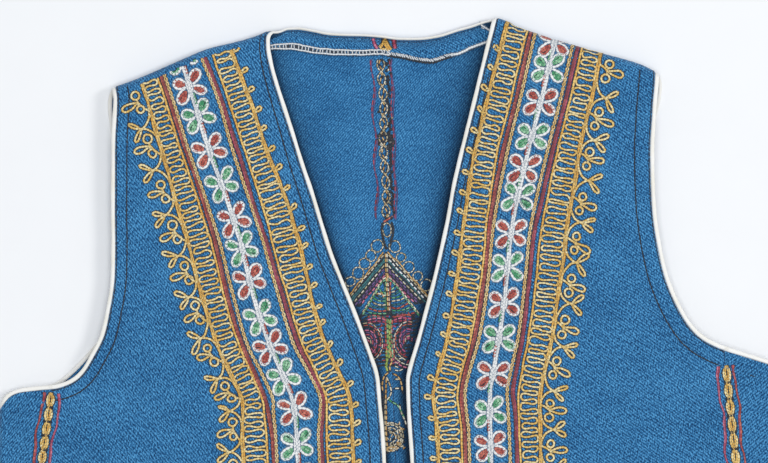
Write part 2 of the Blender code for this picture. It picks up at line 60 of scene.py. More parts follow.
# The solids' own sizes
LENGTH = 522.6
OVERRUN = 12  # how far lines of the pattern go on past the length, over the shoulder
WALL = 1.6
FACING_WALL = 1.2
FACING_LIFT = 0.6  # between the facing and the back
FACING_DEPTHS = (WALL + FACING_LIFT, WALL + FACING_LIFT + FACING_WALL)  # from the back's outside
FACING_SET_BACK = 0.6  # of the facing's upper edge from the back's
SHOULDER_ROLL = 7.0  # how far before the shoulder line, and the side fold, the loft is taken
SIDE_ROLL = 4.5
SEAM_TURN = math.radians(120)  # of the shoulder seam, round the roll of the front
NECK_PIPING = {"width": 2.7, "thick": 1.6, "depth": 0.8}  # depth: of its middle in the wall
ARM_PIPING = {"width": 2.8, "thick": 1.7, "depth": 1.2}
FOLD_CURVE = {"lead": 8, "trim": 12}  # points that lead into the armhole's curve round the fold
# Places well inside a panel, to tell which way out of it is
INSIDE_FRONT = (150, 250)
INSIDE_ARM = (120, 350)
INSIDE_BACK = (60, 300)

# Cloth
SEAM = 0.1  # between the shells of pieces that are sewn together
EDGE_ROUND = 0.7  # radius of a turned edge
EDGE_ROWS = (0.25, 0.8, 2.4)  # rows of points inside every edge
GRID = 4.5  # between points inside a panel
EDGE_STEP = 2.5  # between points along its edges, and where the cloth rolls
ROLL_STEP = 1.6
BESIDE_EDGE = (-0.6, 0.6, 1.8, 3.2, 5.0, 7.5, 10.5)  # rows of points where a front shades the back
TWILL = {  # how far the ribs are turned from up, towards +a, in degrees, and what they are like
    "front": {"right": 40, "left": -53, "rib": {"pitch": 1.75, "ribbed": 0.33, "grainy": 0.72}},
    "inside": {"right": -45, "left": 45, "rib": {"pitch": 1.5, "ribbed": 0.26, "grainy": 0.40}},
}
TOPSTITCH = {"right": (12.0, 10.5), "left": (10.0, 13.2)}  # in from the outer edge: V, armhole
TOPSTITCH_SHARE = table("h share", (0, 0.9), (250, 0.88), (420, 0.8), (512, 0.6))  # of it, at the V
TOPSTITCH_ROWS = (-1.8, -0.9, -0.4, 0, 0.4, 0.9, 1.8)  # rows of points beside it
GROOVE = {"depth": 0.55, "width": 1.0}  # that its stitches pull into the cloth
# How far a front's raised edge shades the back, and how much deeper and wider by height
UNDER_EDGE = {"right": 2.6, "left": 4.2}
UNDER_EDGE_DEPTH = ((200, 330, 430, 510), (1.0, 1.0, 0.62, 0.5))
UNDER_EDGE_SPREAD = ((300, 340, 480), (2.0, 2.6, 4.2))

# Distance of the piped front edge from the centre line; h runs on over the shoulder
FRONT_EDGE = table(
    "h right left",
    (0, 4.4, 12.4),
    (120, 4.8, 11.4),
    (231, 6.2, 9.9),
    (249, 6.8, 9.2),
    (268, 8.0, 8.7),
    (282, 8.7, 8.8),
    (289, 9.8, 10.2),
    (296, 11.9, 12.4),
    (309, 16.2, 16.8),
    (329, 23.0, 22.8),
    (349, 30.4, 28.7),
    (369, 37.6, 34.0),
    (390, 43.5, 39.2),
    (410, 48.9, 43.3),
    (430, 55.0, 48.5),
    (450, 60.5, 54.1),
    (470, 66.3, 59.8),
    (485, 70.6, 63.9),
    (499, 73.8, 67.8),
    (508, 75.0, 70.3),
    (513, 75.0, 71.8),
    (517.5, 73.6, 73.0),
    (521.5, 70.0, 74.0),
    (526, 64.0, 74.8),
    (534, 52.0, 75.6),
)

# Shoulder line seen from above, by distance from the centre line
SHOULDER_LINE = table(
    "a right left",
    (66, 518.8, 522.4),
    (72, 518.6, 522.9),
    (78, 518.1, 522.6),
    (84, 515.6, 520.4),
    (90, 514.2, 517.1),
    (100, 512.1, 512.8),
    (115, 508.7, 506.9),
    (135, 501.4, 500.7),
    (160, 491.4, 493.1),
    (175, 486.4, 487.5),
    (184, 483.6, 482.6),
    (192, 481.0, 477.5),
)

# Back neck seen from above, by share of the distance from the centre line to the neck point,
# with the radius at which the cloth rises to the edge and the turn that it has made there
BACK_NECK = table(
    "share right left roll turn",
    (0.00, 514.9, 514.9, 7.5, 72),
    (0.16, 516.2, 513.0, 7.5, 72),
    (0.32, 516.9, 512.7, 7.5, 68),
    (0.48, 517.9, 514.0, 7.5, 64),
    (0.65, 520.7, 517.6, 7.2, 64),
    (0.78, 522.3, 520.1, 6.8, 64),
    (0.86, 522.3, 522.1, 6.4, 66),
    (0.94, 520.3, 523.3, 6.1, 74),
    (1.00, 519.4, 523.6, 6.0, 90),
)
NECK_POINT = {"right": 73.0, "left": 78.0}

# Lower edge of the strip turned in along the back neck, and where its upper edge stops
FACING_EDGE = table(
    "a right left",
    (0, 501.1, 501.1),
    (15, 500.9, 498.2),
    (24, 501.3, 495.9),
    (33, 501.8, 494.8),
    (41, 502.6, 496.9),
    (46, 503.3, 498.3),
    (52, 504.5, 499.9),
    (58, 505.8, 502.2),
    (65, 506.5, 504.8),
    (72, 506.7, 507.1),
    (80, 506.4, 508.4),
)
FACING_END = {"right": 66.0, "left": 65.5}
FACING_SLANT = 0.75  # fall of the slanting end of the strip, by distance out
FACING_REACH = (76.5, 78.0)  # where the strip ends under the shoulder: above and below

# Armhole seen from above, from the side fold to the shoulder point, and how far the back's
# edge stands out past the front's
ARMHOLE = {
    "right": table(
        "a h shows",
        (263.6, 271.0, 0.0),
        (262.2, 276.4, -0.4),
        (259.3, 280.6, -0.8),
        (254.0, 283.6, -1.0),
        (247.3, 285.0, -1.2),
        (236.3, 285.9, -0.6),
        (225.5, 286.6, 1.2),
        (215.4, 290.0, 4.4),
        (208.2, 296.0, 4.8),
        (201.7, 306.0, 2.4),
        (194.8, 318.9, -0.6),
        (190.2, 336.5, -1.2),
        (186.9, 354.2, -1.2),
        (185.5, 378.0, -1.2),
        (185.0, 400.0, -1.2),
        (183.9, 430.0, -1.0),
        (183.1, 450.0, 0.4),
        (182.0, 462.0, 2.8),
        (181.3, 470.0, 4.1),
        (180.9, 477.0, 4.0),
        (181.8, 484.0, 2.0),
    ),
    "left": table(
        "a h shows",
        (265.5, 273.0, 0.0),
        (264.1, 279.0, -0.4),
        (260.4, 284.0, -0.8),
        (252.5, 287.7, -1.0),
        (234.6, 294.0, -1.2),
        (221.5, 298.7, -1.2),
        (209.4, 305.4, -1.2),
        (201.2, 314.0, -1.2),
        (194.3, 326.2, -1.2),
        (189.1, 338.7, -1.2),
        (185.5, 350.6, -1.2),
        (182.6, 366.4, -1.2),
        (180.3, 384.2, -1.2),
        (179.5, 404.0, -1.2),
        (179.7, 430.0, -1.2),
        (180.9, 446.0, -0.4),
        (182.0, 458.6, 2.0),
        (183.0, 467.0, 3.1),
        (184.0, 475.0, 3.0),
        (184.9, 484.0, 1.4),
    ),
}
SHOULDER_END = {"right": 179.8, "left": 182.5}  # of the shoulder seam at the armhole

# Side seam on the front, and the side fold outside it
SIDE = table(
    "h seam_right seam_left fold_right fold_left",
    (0, 250.0, 240.0, 279.0, 279.0),
    (110, 246.0, 234.5, 274.5, 275.0),
    (220, 238.0, 227.4, 267.5, 269.0),
    (290, 227.0, 222.4, 263.5, 265.5),
    (330, 224.0, 220.5, 262.5, 264.5),
)

# Height of the upper face above the surface: at the front edge, half way across and at the side
LOFT = table(
    "h edge middle side",
    (0, 6.2, 9.4, 9.0),
    (120, 6.4, 10.6, 9.2),
    (230, 6.6, 11.2, 9.4),
    (285, 7.0, 11.6, 9.7),
    (350, 8.0, 12.0, 10.4),
    (420, 9.6, 12.8, 12.0),
    (470, 11.0, 13.8, 13.4),
    (500, 12.0, 14.4, 14.0),
    (540, 12.2, 14.6, 14.2),
)
LOFT_WIDTH = table("h side", (0, 279), (270, 265), (350, 228), (420, 198), (480, 184), (540, 184))

# Soft troughs in the fronts, from end to end
CREASES = table(
    "sign a0 h0 a1 h1 depth width",
    (1, 194, 318, 213, 70, 2.2, 11),
    (-1, 226, 262, 236, 95, 1.2, 9),
    (-1, 150, 230, 172, 20, 1.3, 15),
    (1, 92, 190, 118, 15, 1.4, 16),
    (-1, 168, 420, 150, 330, 0.7, 12),
    (1, 160, 470, 148, 372, 0.8, 13),
)


# Embroidery on a front: its flower stem by distance from the hem, and the lines beside the stem,
# as distances from it towards the armhole
STEM = table(
    "h right left",
    (0, 63.5, 64.5),
    (242, 65.4, 64.2),
    (267, 66.7, 64.6),
    (288, 73.4, 68.0),
    (308, 81.4, 72.0),
    (329, 88.0, 75.7),
    (352, 93.6, 79.0),
    (378, 99.0, 82.2),
    (404, 106.2, 87.8),
    (441, 118.2, 97.6),
    (467, 125.4, 105.2),
    (490, 131.6, 111.3),
    (512, 137.2, 117.0),
)
BANDS = {
    "right": table(
        "h gold_in thin_in red_in yellow_in yellow_out red_out thin_out gold_out",
        (0, -37.0, -20.5, -17.0, -14.8, 13.8, 16.4, 20.0, 35.5),
        (245, -37.2, -20.0, -16.4, -14.6, 14.0, 16.0, 20.0, 36.2),
        (262, -37.7, -21.7, -18.8, -17.0, 14.2, 17.5, 20.4, 34.8),
        (275, -38.4, -22.7, -21.0, -18.9, 12.8, 18.0, 20.0, 33.6),
        (310, -37.0, -22.0, -19.2, -16.0, 14.6, 18.0, 20.3, 34.6),
        (340, -38.0, -22.5, -19.5, -16.5, 13.5, 17.4, 19.6, 34.2),
        (370, -38.8, -21.2, -17.6, -15.4, 13.6, 16.9, 19.4, 34.8),
        (400, -39.0, -22.0, -16.6, -14.7, 14.0, 16.2, 19.5, 34.5),
        (440, -38.0, -23.5, -19.0, -15.6, 13.5, 15.3, 18.6, 31.5),
        (470, -37.4, -23.2, -18.6, -16.6, 13.5, 15.8, 18.7, 30.6),
        (510, -34.5, -21.3, -15.3, -12.8, 15.2, 17.2, 20.2, 32.0),
    ),
    "left": table(
        "h gold_in thin_in red_in yellow_in yellow_out red_out thin_out gold_out",
        (0, -35.5, -19.5, -17.0, -14.5, 13.0, 17.0, 19.6, 34.5),
        (245, -35.4, -19.3, -17.0, -14.4, 12.7, 17.5, 19.5, 33.3),
        (262, -36.8, -21.0, -18.5, -16.0, 12.0, 16.5, 19.2, 33.4),
        (275, -38.2, -22.0, -19.3, -17.0, 11.2, 15.0, 19.0, 34.0),
        (310, -34.6, -19.0, -16.5, -13.4, 12.7, 15.6, 19.7, 35.5),
        (340, -34.0, -17.6, -15.5, -12.6, 12.3, 15.1, 19.7, 35.8),
        (370, -32.4, -16.8, -14.6, -12.4, 12.4, 15.2, 19.9, 37.0),
        (400, -33.5, -18.3, -15.8, -13.0, 12.8, 16.6, 20.2, 36.8),
        (440, -36.0, -20.8, -17.0, -14.0, 13.0, 16.5, 19.6, 34.2),
        (470, -36.3, -20.7, -17.1, -14.3, 12.8, 16.4, 19.4, 33.5),
        (510, -35.0, -20.4, -17.5, -14.5, 12.5, 16.3, 19.0, 32.8),
    ),
}
BAND_TOP = {"right": -5.0, "left": 4.0}  # where the bands stop, past the shoulder line
BAND_FOOT = 5  # and above the hem

# Heights of the flowers, from the shoulder down, and of the sprigs on the outer line
FLOWERS = table(
    "right left",
    (505.0, 506.5),
    (484.5, 489.0),
    (465.0, 467.0),
    (441.5, 444.0),
    (418.5, 423.0),
    (395.0, 404.0),
    (375.5, 380.0),
    (353.5, 357.0),
    (329.0, 333.0),
    (308.5, 309.5),
    (288.5, 286.0),
    (266.5, 260.5),
    (242.5, 238.0),
)
SPRIGS = table(
    "fork_right trefoil_right fork_left trefoil_left",
    (458.0, 474.0, 469.0, 486.0),
    (429.5, 445.5, 440.5, 455.0),
    (400.0, 415.5, 413.0, 427.0),
    (372.0, 387.0, 385.5, 398.5),
    (344.0, 360.0, 358.0, 371.0),
    (317.0, 333.5, 331.0, 343.5),
    (290.5, 306.0, 303.5, 315.5),
    (264.5, 280.0, 274.0, 288.5),
    (238.0, 253.0, 246.0, 260.0),
)
# A flower's petals: turn from up the stem towards the wearer's left, length and width
PETALS = table(
    "turn length width",
    (43.5, 12.5, 6.9),
    (123, 11.8, 6.7),
    (-60, 11.3, 6.9),
    (-138, 13.2, 7.0),
)
# The two threads of each double row, beside the outer and the inner yellow row
RED_ROWS = {
    "right": (("rust", "maroon"), ("crimson", "maroon")),
    "left": (("crimson", "maroon"), ("maroon", "rust")),
}
FLOWER_COLOURS = {"right": ("green", "rust"), "left": ("rust", "green")}  # from the shoulder
FLOWER_DROP = 1.3  # of a flower's middle from the height of its petals
FLOWER_PITCH = 22.7
SPRIG_PITCH = 27.4
PICOTS = {"right": (504.5, 13.25), "left": (500.5, 13.6)}  # topmost, pitch
MEANDER_PITCH = 6.3
SEAM_ROWS = table(
    "colour off size",
    ("crimson", -5.3, 0.9),
    ("rust", -5.7, 0.7),
    ("crimson", 5.5, 1.0),
    ("pink", 5.9, 0.9),
)
SEAM_PITCH = {"right": 9.6, "left": 11.2}

# Section of a chain stitch's link: across it, its height there, and along it, width and height
LINK_ACROSS = np.array([-1.0, -0.44, 0.0, 0.44, 1.0])
LINK_RISE = np.array([0.13, 0.92, 0.6, 0.92, 0.13])
LINK_ALONG = np.array([-0.12, 0.2, 0.62, 1.02])
LINK_WIDTH = np.array([0.55, 1.0, 0.95, 0.65])
LINK_HEIGHT = np.array([0.4, 1.0, 0.95, 0.6])
# And of a plain stitch
DASH_ALONG = np.array([0.04, 0.2, 0.8, 0.96])
DASH_WIDTH = np.array([0.75, 1.45, 1.45, 0.75])
DASH_HEIGHT = np.array([0.0, 1.0, 1.0, 0.0])
LINK_LONG = 1.13  # length of a chain stitch, by the one that is asked for
FULLNESS = 2.9  # width of a chain stitch, with its sides in painted shade, by the thread's own width
THREAD_SUNK = 0.06  # how deep every thread lies in the cloth

# The reverse of the embroidery inside the back: how wide its rows look by those outside, the
# distances of the arch's rows from its outer line on either side, and the rings of a scroll
INSIDE_THREAD = 0.72
INSIDE_CENTRE = -0.9  # how far to the wearer's left its middle lies
CHAIN_SPANS = (498.0, 389.0), (224.0, 16.0)  # of the centre chain, above the arch and below it
# Its navy rows are partly dark thread and partly painted shade between the bands.
ARCH_ROWS = table(
    "left left_colour right right_colour",
    (0, "dull", 0, "dull"),
    (0.9, "faded", 0.9, "faded"),
    (1.9, "navy", 2.0, "navy"),
    (2.9, "white", 2.9, "teal"),
    (3.9, "teal", 3.9, "teal"),
    (4.7, "navy", 4.7, "navy"),
    (5.6, "faded", 5.5, "faded"),
    (6.5, "navy", 6.5, "navy"),
    (7.4, "violet", 7.3, "violet"),
    (8.5, "violet", 8.4, "violet"),
    (9.3, "navy", 9.2, "navy"),
    (10.2, "pink", 10.0, "pink"),
)
SCROLL = ("faded", "rust", "navy", "pink", "violet", "crimson", "faded", "pink")

# The ends of the centre back embroidery on the neck facing, by (x, height seen from above)
NECK_MARK = (  # piece, thread, width, link, height, points
    ("gold", "gold", 1.15, 1.5, 0.6, (2.0, 511.6), (3.0, 509.0), (4.6, 506.2), (6.0, 503.8)),
    ("gold", "gold", 1.15, 1.5, 0.6, (1.6, 510.8), (2.0, 507.6), (3.4, 505.2), (4.4, 503.7)),
    ("gold", "gold", 1.15, 1.5, 0.6, (1.6, 511.2), (0.2, 508.0), (-1.5, 505.0)),
    ("pale", "pale", 1.0, 1.5, 0.5, (-1.4, 505.0), (0.8, 504.6), (2.8, 504.2), (4.2, 503.4)),
    ("pale", "pale", 0.8, 1.5, 0.5, (0.6, 508.8), (-0.9, 507.4), (-2.2, 505.8)),
    ("red", "pink", 1.0, 1.7, 0.5, (-5.9, 511.6), (-4.9, 507.8), (-3.3, 504.9)),
    ("dark", "crimson", 1.3, 1.7, 0.5, (7.7, 510.6), (8.2, 507.6), (8.5, 504.5)),
)

# Colours of the wool with its painted shade, its threads (light, own colour, painted shadow) and
# the light
WOOL_DARK, WOOL_MIDDLE = (0.003, 0.034, 0.110), (0.019, 0.130, 0.318)
WOOL_LIGHT, WOOL_SHADED = (0.105, 0.380, 0.700), (0.002, 0.006, 0.016)
THREADS = {
    "gold": ((1.0, 0.68, 0.20), (0.80, 0.41, 0.05), (0.02, 0.017, 0.015)),
    "pale": ((1.0, 0.86, 0.48), (0.84, 0.54, 0.13), (0.015, 0.017, 0.02)),
    "straw": ((1.0, 0.80, 0.44), (0.78, 0.50, 0.17), (0.02, 0.018, 0.02)),
    "faded": ((0.95, 0.90, 0.74), (0.52, 0.45, 0.28), (0.012, 0.016, 0.022)),
    "dull": ((0.92, 0.60, 0.24), (0.56, 0.30, 0.07), (0.02, 0.014, 0.012)),
    "rust": ((0.72, 0.20, 0.13), (0.42, 0.05, 0.035), (0.03, 0.008, 0.015)),
    "crimson": ((0.58, 0.10, 0.17), (0.36, 0.035, 0.075), (0.06, 0.008, 0.025)),
    "maroon": ((0.42, 0.09, 0.09), (0.23, 0.03, 0.035), (0.04, 0.008, 0.015)),
    "green": ((0.40, 0.74, 0.46), (0.04, 0.33, 0.13), (0.004, 0.03, 0.03)),
    "white": ((1.0, 1.0, 0.98), (0.93, 0.93, 0.91), (0.10, 0.16, 0.24)),
    "navy": ((0.008, 0.018, 0.036), (0.003, 0.008, 0.018), (0.001, 0.003, 0.008)),
    "teal": ((0.06, 0.30, 0.30), (0.012, 0.13, 0.16), (0.003, 0.03, 0.045)),
    "violet": ((0.22, 0.13, 0.36), (0.09, 0.05, 0.18), (0.015, 0.01, 0.04)),
    "pink": ((0.80, 0.28, 0.40), (0.54, 0.10, 0.21), (0.12, 0.015, 0.06)),
    "lime": ((0.50, 0.62, 0.16), (0.30, 0.41, 0.07), (0.06, 0.10, 0.02)),
}
FRONT_COLOURS = "gold pale straw rust crimson maroon green white navy".split()
INSIDE_COLOURS = "faded dull rust crimson green white navy teal violet pink lime".split()
SKY, SKY_STRENGTH = (0.93, 0.965, 1.0), 0.37
LAMPS = (  # place, width, watts, colour
    ("key", (3.3, 0.65, 3.2), 1.4, 58, (1.0, 0.99, 0.97)),
    ("top", (0.0, 0.2, 3.2), 2.4, 58, (0.97, 0.985, 1.0)),
)
LAMPS_AIM = (0, 0.1, 0)
CAMERA = {"spot": (-0.00271, 0.1208, 2.508), "turn": -1.8, "lens": 174.9}


def smooth(at, xs, ys):
    """A cubic through the points that doesn't overshoot, and goes on straight past its ends."""
    at = np.asarray(at, float)
    steps = np.diff(xs)
    rises = np.diff(ys) / steps
    slopes = np.concatenate([rises[:1], np.zeros(len(xs) - 2), rises[-1:]])
    same_way = rises[:-1] * rises[1:] > 0
    mean = 2 * rises[:-1] * rises[1:] / np.where(same_way, rises[:-1] + rises[1:], 1)
    slopes[1:-1] = np.where(same_way, mean, 0)
    i = np.clip(np.searchsorted(xs, at, side="right") - 1, 0, len(xs) - 2)
    t = np.clip((at - xs[i]) / steps[i], 0, 1)
    inside = (
        ys[i] * (1 + 2 * t) * (1 - t) ** 2
        + ys[i + 1] * t**2 * (3 - 2 * t)
        + steps[i] * t * (1 - t) * (slopes[i] * (1 - t) - slopes[i + 1] * t)
    )
    past = slopes[0] * np.minimum(at - xs[0], 0) + slopes[-1] * np.maximum(at - xs[-1], 0)
    return inside + past


def read(rows, name, at):
    """A column of a table, as a smooth curve over its first column."""
    return smooth(at, next(iter(rows.values())), rows[name])


def curve(points, per_span=12):
    """A rounded line through the points (Catmull-Rom)."""
    points = np.asarray(points, float)
    ends = np.vstack([2 * points[0] - points[1], points, 2 * points[-1] - points[-2]])
    made = []
    for before, start, end, after in zip(ends, ends[1:], ends[2:], ends[3:]):
        t = np.linspace(0, 1, per_span, endpoint=False)[:, None]
        made.append(
            start
            + 0.5 * t * (end - before)
            + t**2 * (before - 2.5 * start + 2 * end - 0.5 * after)
            + 0.5 * t**3 * (3 * start - before - 3 * end + after)
        )
    return np.vstack(made + [points[-1:]])


def pairs(first, second):
    """Points from their two coordinates."""
    return np.stack([first, second], axis=1)


def shaken(points, by):
    """The points moved a little at random."""
    return points + RNG.normal(0, by, points.shape)


def lengths(points):
    """The distance along a line to each of its points."""
    return np.concatenate([[0], np.cumsum(np.linalg.norm(np.diff(points, axis=0), axis=1))])


def columns_at(at, along, points):
    """The places on a line at these distances along it."""
    return np.stack([np.interp(at, along, column) for column in points.T], axis=-1)


def spaced(points, step):
    """The line with its points about one step apart."""
    along = lengths(points)
    count = max(2, math.ceil(along[-1] / step) + 1)
    return columns_at(np.linspace(0, along[-1], count), along, points)


def outward(points, away_from):
    """Unit normals along a line in the pattern, pointing away from a place inside the panel."""
    along = np.gradient(points, axis=0)
    normals = pairs(along[:, 1], -along[:, 0])
    normals /= np.linalg.norm(normals, axis=1)[:, None]
    middle = len(points) // 2
    inward = np.dot(normals[middle], np.asarray(away_from) - points[middle]) > 0
    return -normals if inward else normals


def unit_rows(vectors):
    return vectors / np.linalg.norm(vectors, axis=1)[:, None]


def distance_to(points, line):
    """Distance of each pattern point from an open line."""
    start, along = line[:-1], np.diff(line, axis=0)
    made = []
    for some in np.array_split(points, max(1, len(points) // 2000)):
        from_start = some[:, None] - start[None]
        share = np.einsum("pkc,kc->pk", from_start, along) / (along**2).sum(axis=1)
        off = from_start - np.clip(share, 0, 1)[..., None] * along[None]
        made.append(np.sqrt((off**2).sum(axis=2).min(axis=1)))
    return np.concatenate(made)


def inside_of(points, line):
    """Which points lie inside a closed line."""
    ends = np.roll(line, -1, axis=0)
    made = []
    for some in np.array_split(points, max(1, len(points) // 2000)):
        x, y = some[:, :1], some[:, 1:]
        low, high = line[None, :, 1], ends[None, :, 1]
        start, step = line[None, :, 0], (ends - line)[None, :, 0]
        with np.errstate(divide="ignore", invalid="ignore"):
            cut = start + (y - low) / (high - low) * step
        made.append((((low > y) != (high > y)) & (x < cut)).sum(axis=1) % 2 == 1)
    return np.concatenate(made)


def clear_of(points, line, margin):
    """The points that lie inside the closed line and more than margin from it."""
    points = points[inside_of(points, line)]
    return points[distance_to(points, np.vstack([line, line[:1]])) > margin]


def inset(line, by):
    """The closed line's points moved inward, without those that come too near it."""
    along = unit_rows(np.roll(line, -1, axis=0) - np.roll(line, 1, axis=0))
    ends = np.roll(line, -1, axis=0)
    turns_left = (line[:, 0] * ends[:, 1] - ends[:, 0] * line[:, 1]).sum() > 0
    inward = pairs(-along[:, 1], along[:, 0]) * (1 if turns_left else -1)
    return clear_of(line + inward * by, line, 0.95 * by)


def stepped(outline, step_at):
    """The stretches of a closed outline, with points as far apart as step_at says."""
    made = {}
    for name, stretch in outline.items():
        fine = spaced(stretch, 0.25)
        along = np.cumsum(0.25 / step_at(fine))
        marks = np.linspace(along[0], along[-1], max(1, round(along[-1] - along[0])) + 1)
        made[name] = columns_at(marks, along, fine)
    return made


def closed(stretches):
    """One closed line from the stretches of an outline."""
    return np.vstack([stretch[:-1] for stretch in stretches.values()])


def lattice(low, high, step):
    """Staggered points over a rectangle."""
    made = []
    for row, h in enumerate(np.arange(low[1], high[1], step * 0.87)):
        a = np.arange(low[0] + (row % 2) * step / 2, high[0], step)
        made.append(pairs(a, np.full_like(a, h)))
    return np.vstack(made)


def rolled(at, axis, radius, depth):
    """(how far along, how far it has turned away) of a point, this far into cloth that rolls."""
    turn = np.clip((at - axis) / radius, 0, math.pi)
    along = np.minimum(at, axis) + (radius - depth) * np.sin(turn)
    return along, radius - (radius - depth) * np.cos(turn)


class Half:
    """One side of the vest, with the lines of its pattern and the way its cloth lies."""

    def __init__(self, side):
        self.side = side
        self.sign = {"right": -1, "left": 1}[side]
        self.neck_point = NECK_POINT[side]

    def front_edge(self, h):
        return read(FRONT_EDGE, self.side, h)

    def side_seam(self, h):
        return read(SIDE, "seam_" + self.side, h)

    def side_fold(self, h):
        return read(SIDE, "fold_" + self.side, h)

    def loft(self, a, h):
        """Height of the upper face of a front, with its troughs."""
        near = np.minimum(self.front_edge(np.minimum(h, 505)), 80)
        far = read(LOFT_WIDTH, "side", h)
        s = np.clip((a - near) / (far - near), 0, 1)
        edge, middle, side = (read(LOFT, name, h) for name in ("edge", "middle", "side"))
        z = edge * (1 - s) * (1 - 2 * s) + 4 * middle * s * (1 - s) + side * s * (2 * s - 1)
        for sign, a0, h0, a1, h1, depth, width in zip(*CREASES.values()):
            if sign == self.sign:
                along = np.array([a1 - a0, h1 - h0])
                long = np.linalg.norm(along)
                share = ((a - a0) * along[0] + (h - h0) * along[1]) / long**2
                off = ((a - a0) * along[1] - (h - h0) * along[0]) / long
                fade = np.sin(math.pi * np.clip(share, 0, 1))
                z = z - depth * np.exp(-((off / width) ** 2)) * fade
        return z

    def shoulder_line(self, a):
        return read(SHOULDER_LINE, self.side, a)

    def seam_turn(self, a):
        """The shoulder seam starts half way round the roll at the neck and soon lies behind it."""
        return math.pi / 2 + (SEAM_TURN - math.pi / 2) * np.clip((a - self.neck_point) / 22, 0, 1)

    def rise(self, a):
        """(axis, radius, turn at the edge) of the roll at the top of a back half."""
        line = self.shoulder_line(a)
        radius = self.loft(a, line - SHOULDER_ROLL) / 2
        share = a / self.neck_point
        neck_radius = read(BACK_NECK, "roll", share)
        neck_turn = np.radians(read(BACK_NECK, "turn", share))
        reach = (SEAM + NECK_PIPING["width"]) * np.cos(neck_turn)
        reach = reach + NECK_PIPING["thick"] / 2 * np.sin(neck_turn)
        neck = read(BACK_NECK, self.side, share) - reach
        in_neck = a < self.neck_point
        axis = np.where(in_neck, neck - neck_radius * np.sin(neck_turn), line - radius)
        radius = np.where(in_neck, neck_radius, radius)
        return axis, radius, np.where(in_neck, neck_turn, math.pi - self.seam_turn(a))

    def top_roll(self, a):
        """(axis, radius) of the roll of a front over the shoulder line."""
        line = self.shoulder_line(a)
        radius = self.loft(a, line - SHOULDER_ROLL) / 2
        return line - radius, radius

    def side_roll(self, h):
        """(axis, radius) of the roll of the back round the side fold."""
        radius = self.loft(self.side_fold(h) - SIDE_ROLL, h) / 2
        return self.side_fold(h) - radius, radius

    def place(self, a, y, z):
        return np.stack([self.sign * a, y - LENGTH / 2, z], axis=-1)

    def front(self, a, h, depth):
        """Where a point of a front's pattern lies, this far into the wall."""
        axis, radius = self.top_roll(a)
        y, sunk = rolled(h, axis, radius, depth)
        return self.place(a, y, self.loft(a, np.minimum(h, axis)) - sunk)

    def back(self, a, h, depth):
        """Where a point of a back half's pattern lies, this far into the wall."""
        y, rise = rolled(h, *self.rise(a)[:2], depth)
        axis, radius = self.side_roll(h)
        across, low = rolled(a, axis, radius, depth)
        forward = np.maximum(a - axis - math.pi * radius, 0)
        across = across - forward
        upper = self.loft(across, h) - depth
        z = np.where(forward > 0, upper, np.where(a > axis, low, rise))
        return self.place(across, y, z)

    def round_side(self, across, h):
        """The pattern's a of a point on the strip that has come round the side fold."""
        axis, radius = self.side_roll(h)
        return axis + math.pi * radius + axis - across

    def armhole(self, behind=False):
        """An armhole edge seen from above, without its piping, from the side fold up."""
        rows = ARMHOLE[self.side]
        line = curve(np.stack([rows["a"], rows["h"], rows["shows"]], axis=1))
        line, shows = line[:, :2], line[:, 2:]
        out = (shows if behind else 0) - ARM_PIPING["width"] - SEAM
        return line + outward(line, INSIDE_ARM) * out

    def over_shoulder(self, armhole, roll, turn, near):
        """(the armhole edge taken on over the roll, the shoulder seam from its end to near)."""
        armhole = armhole[armhole[:, 1] < roll(armhole[:, 0])[0]]
        a = np.linspace(SHOULDER_END[self.side], near, 40)
        axis, radius = roll(a)[:2]
        seam = pairs(a, axis + turn(a) * radius - SEAM / 2)
        return np.vstack([armhole, seam[:1]]), seam

    def front_outline(self):
        """Named stretches of a front's outline, in order round it."""
        h = np.linspace(0, LENGTH + OVERRUN, 300)
        outer = pairs(self.front_edge(h), h)
        edge = outer - outward(outer, INSIDE_FRONT) * (NECK_PIPING["width"] + SEAM)
        edge[0, 1] = 0
        axis, radius = self.top_roll(edge[:, 0])
        over = edge[:, 1] - axis - self.seam_turn(edge[:, 0]) * radius + SEAM / 2
        past = np.argmax(over > 0)
        share = over[past - 1] / (over[past - 1] - over[past])
        crossing = edge[past - 1] + share * (edge[past] - edge[past - 1])
        edge = np.vstack([edge[:past], crossing])
        armhole = self.armhole()
        armhole = armhole[armhole[:, 0] < self.side_seam(armhole[:, 1]) - SEAM / 2]
        armhole, shoulder = self.over_shoulder(armhole, self.top_roll, self.seam_turn, crossing[0])
        armhole[0, 0] = self.side_seam(armhole[0, 1]) - SEAM / 2
        h = np.linspace(0, armhole[0, 1], 40)
        seam = pairs(self.side_seam(h) - SEAM / 2, h)
        hem = np.array([edge[0], seam[0]])
        lines = (hem, seam, armhole, shoulder, edge[::-1])
        return dict(zip(("hem", "seam", "armhole", "shoulder", "edge"), lines))

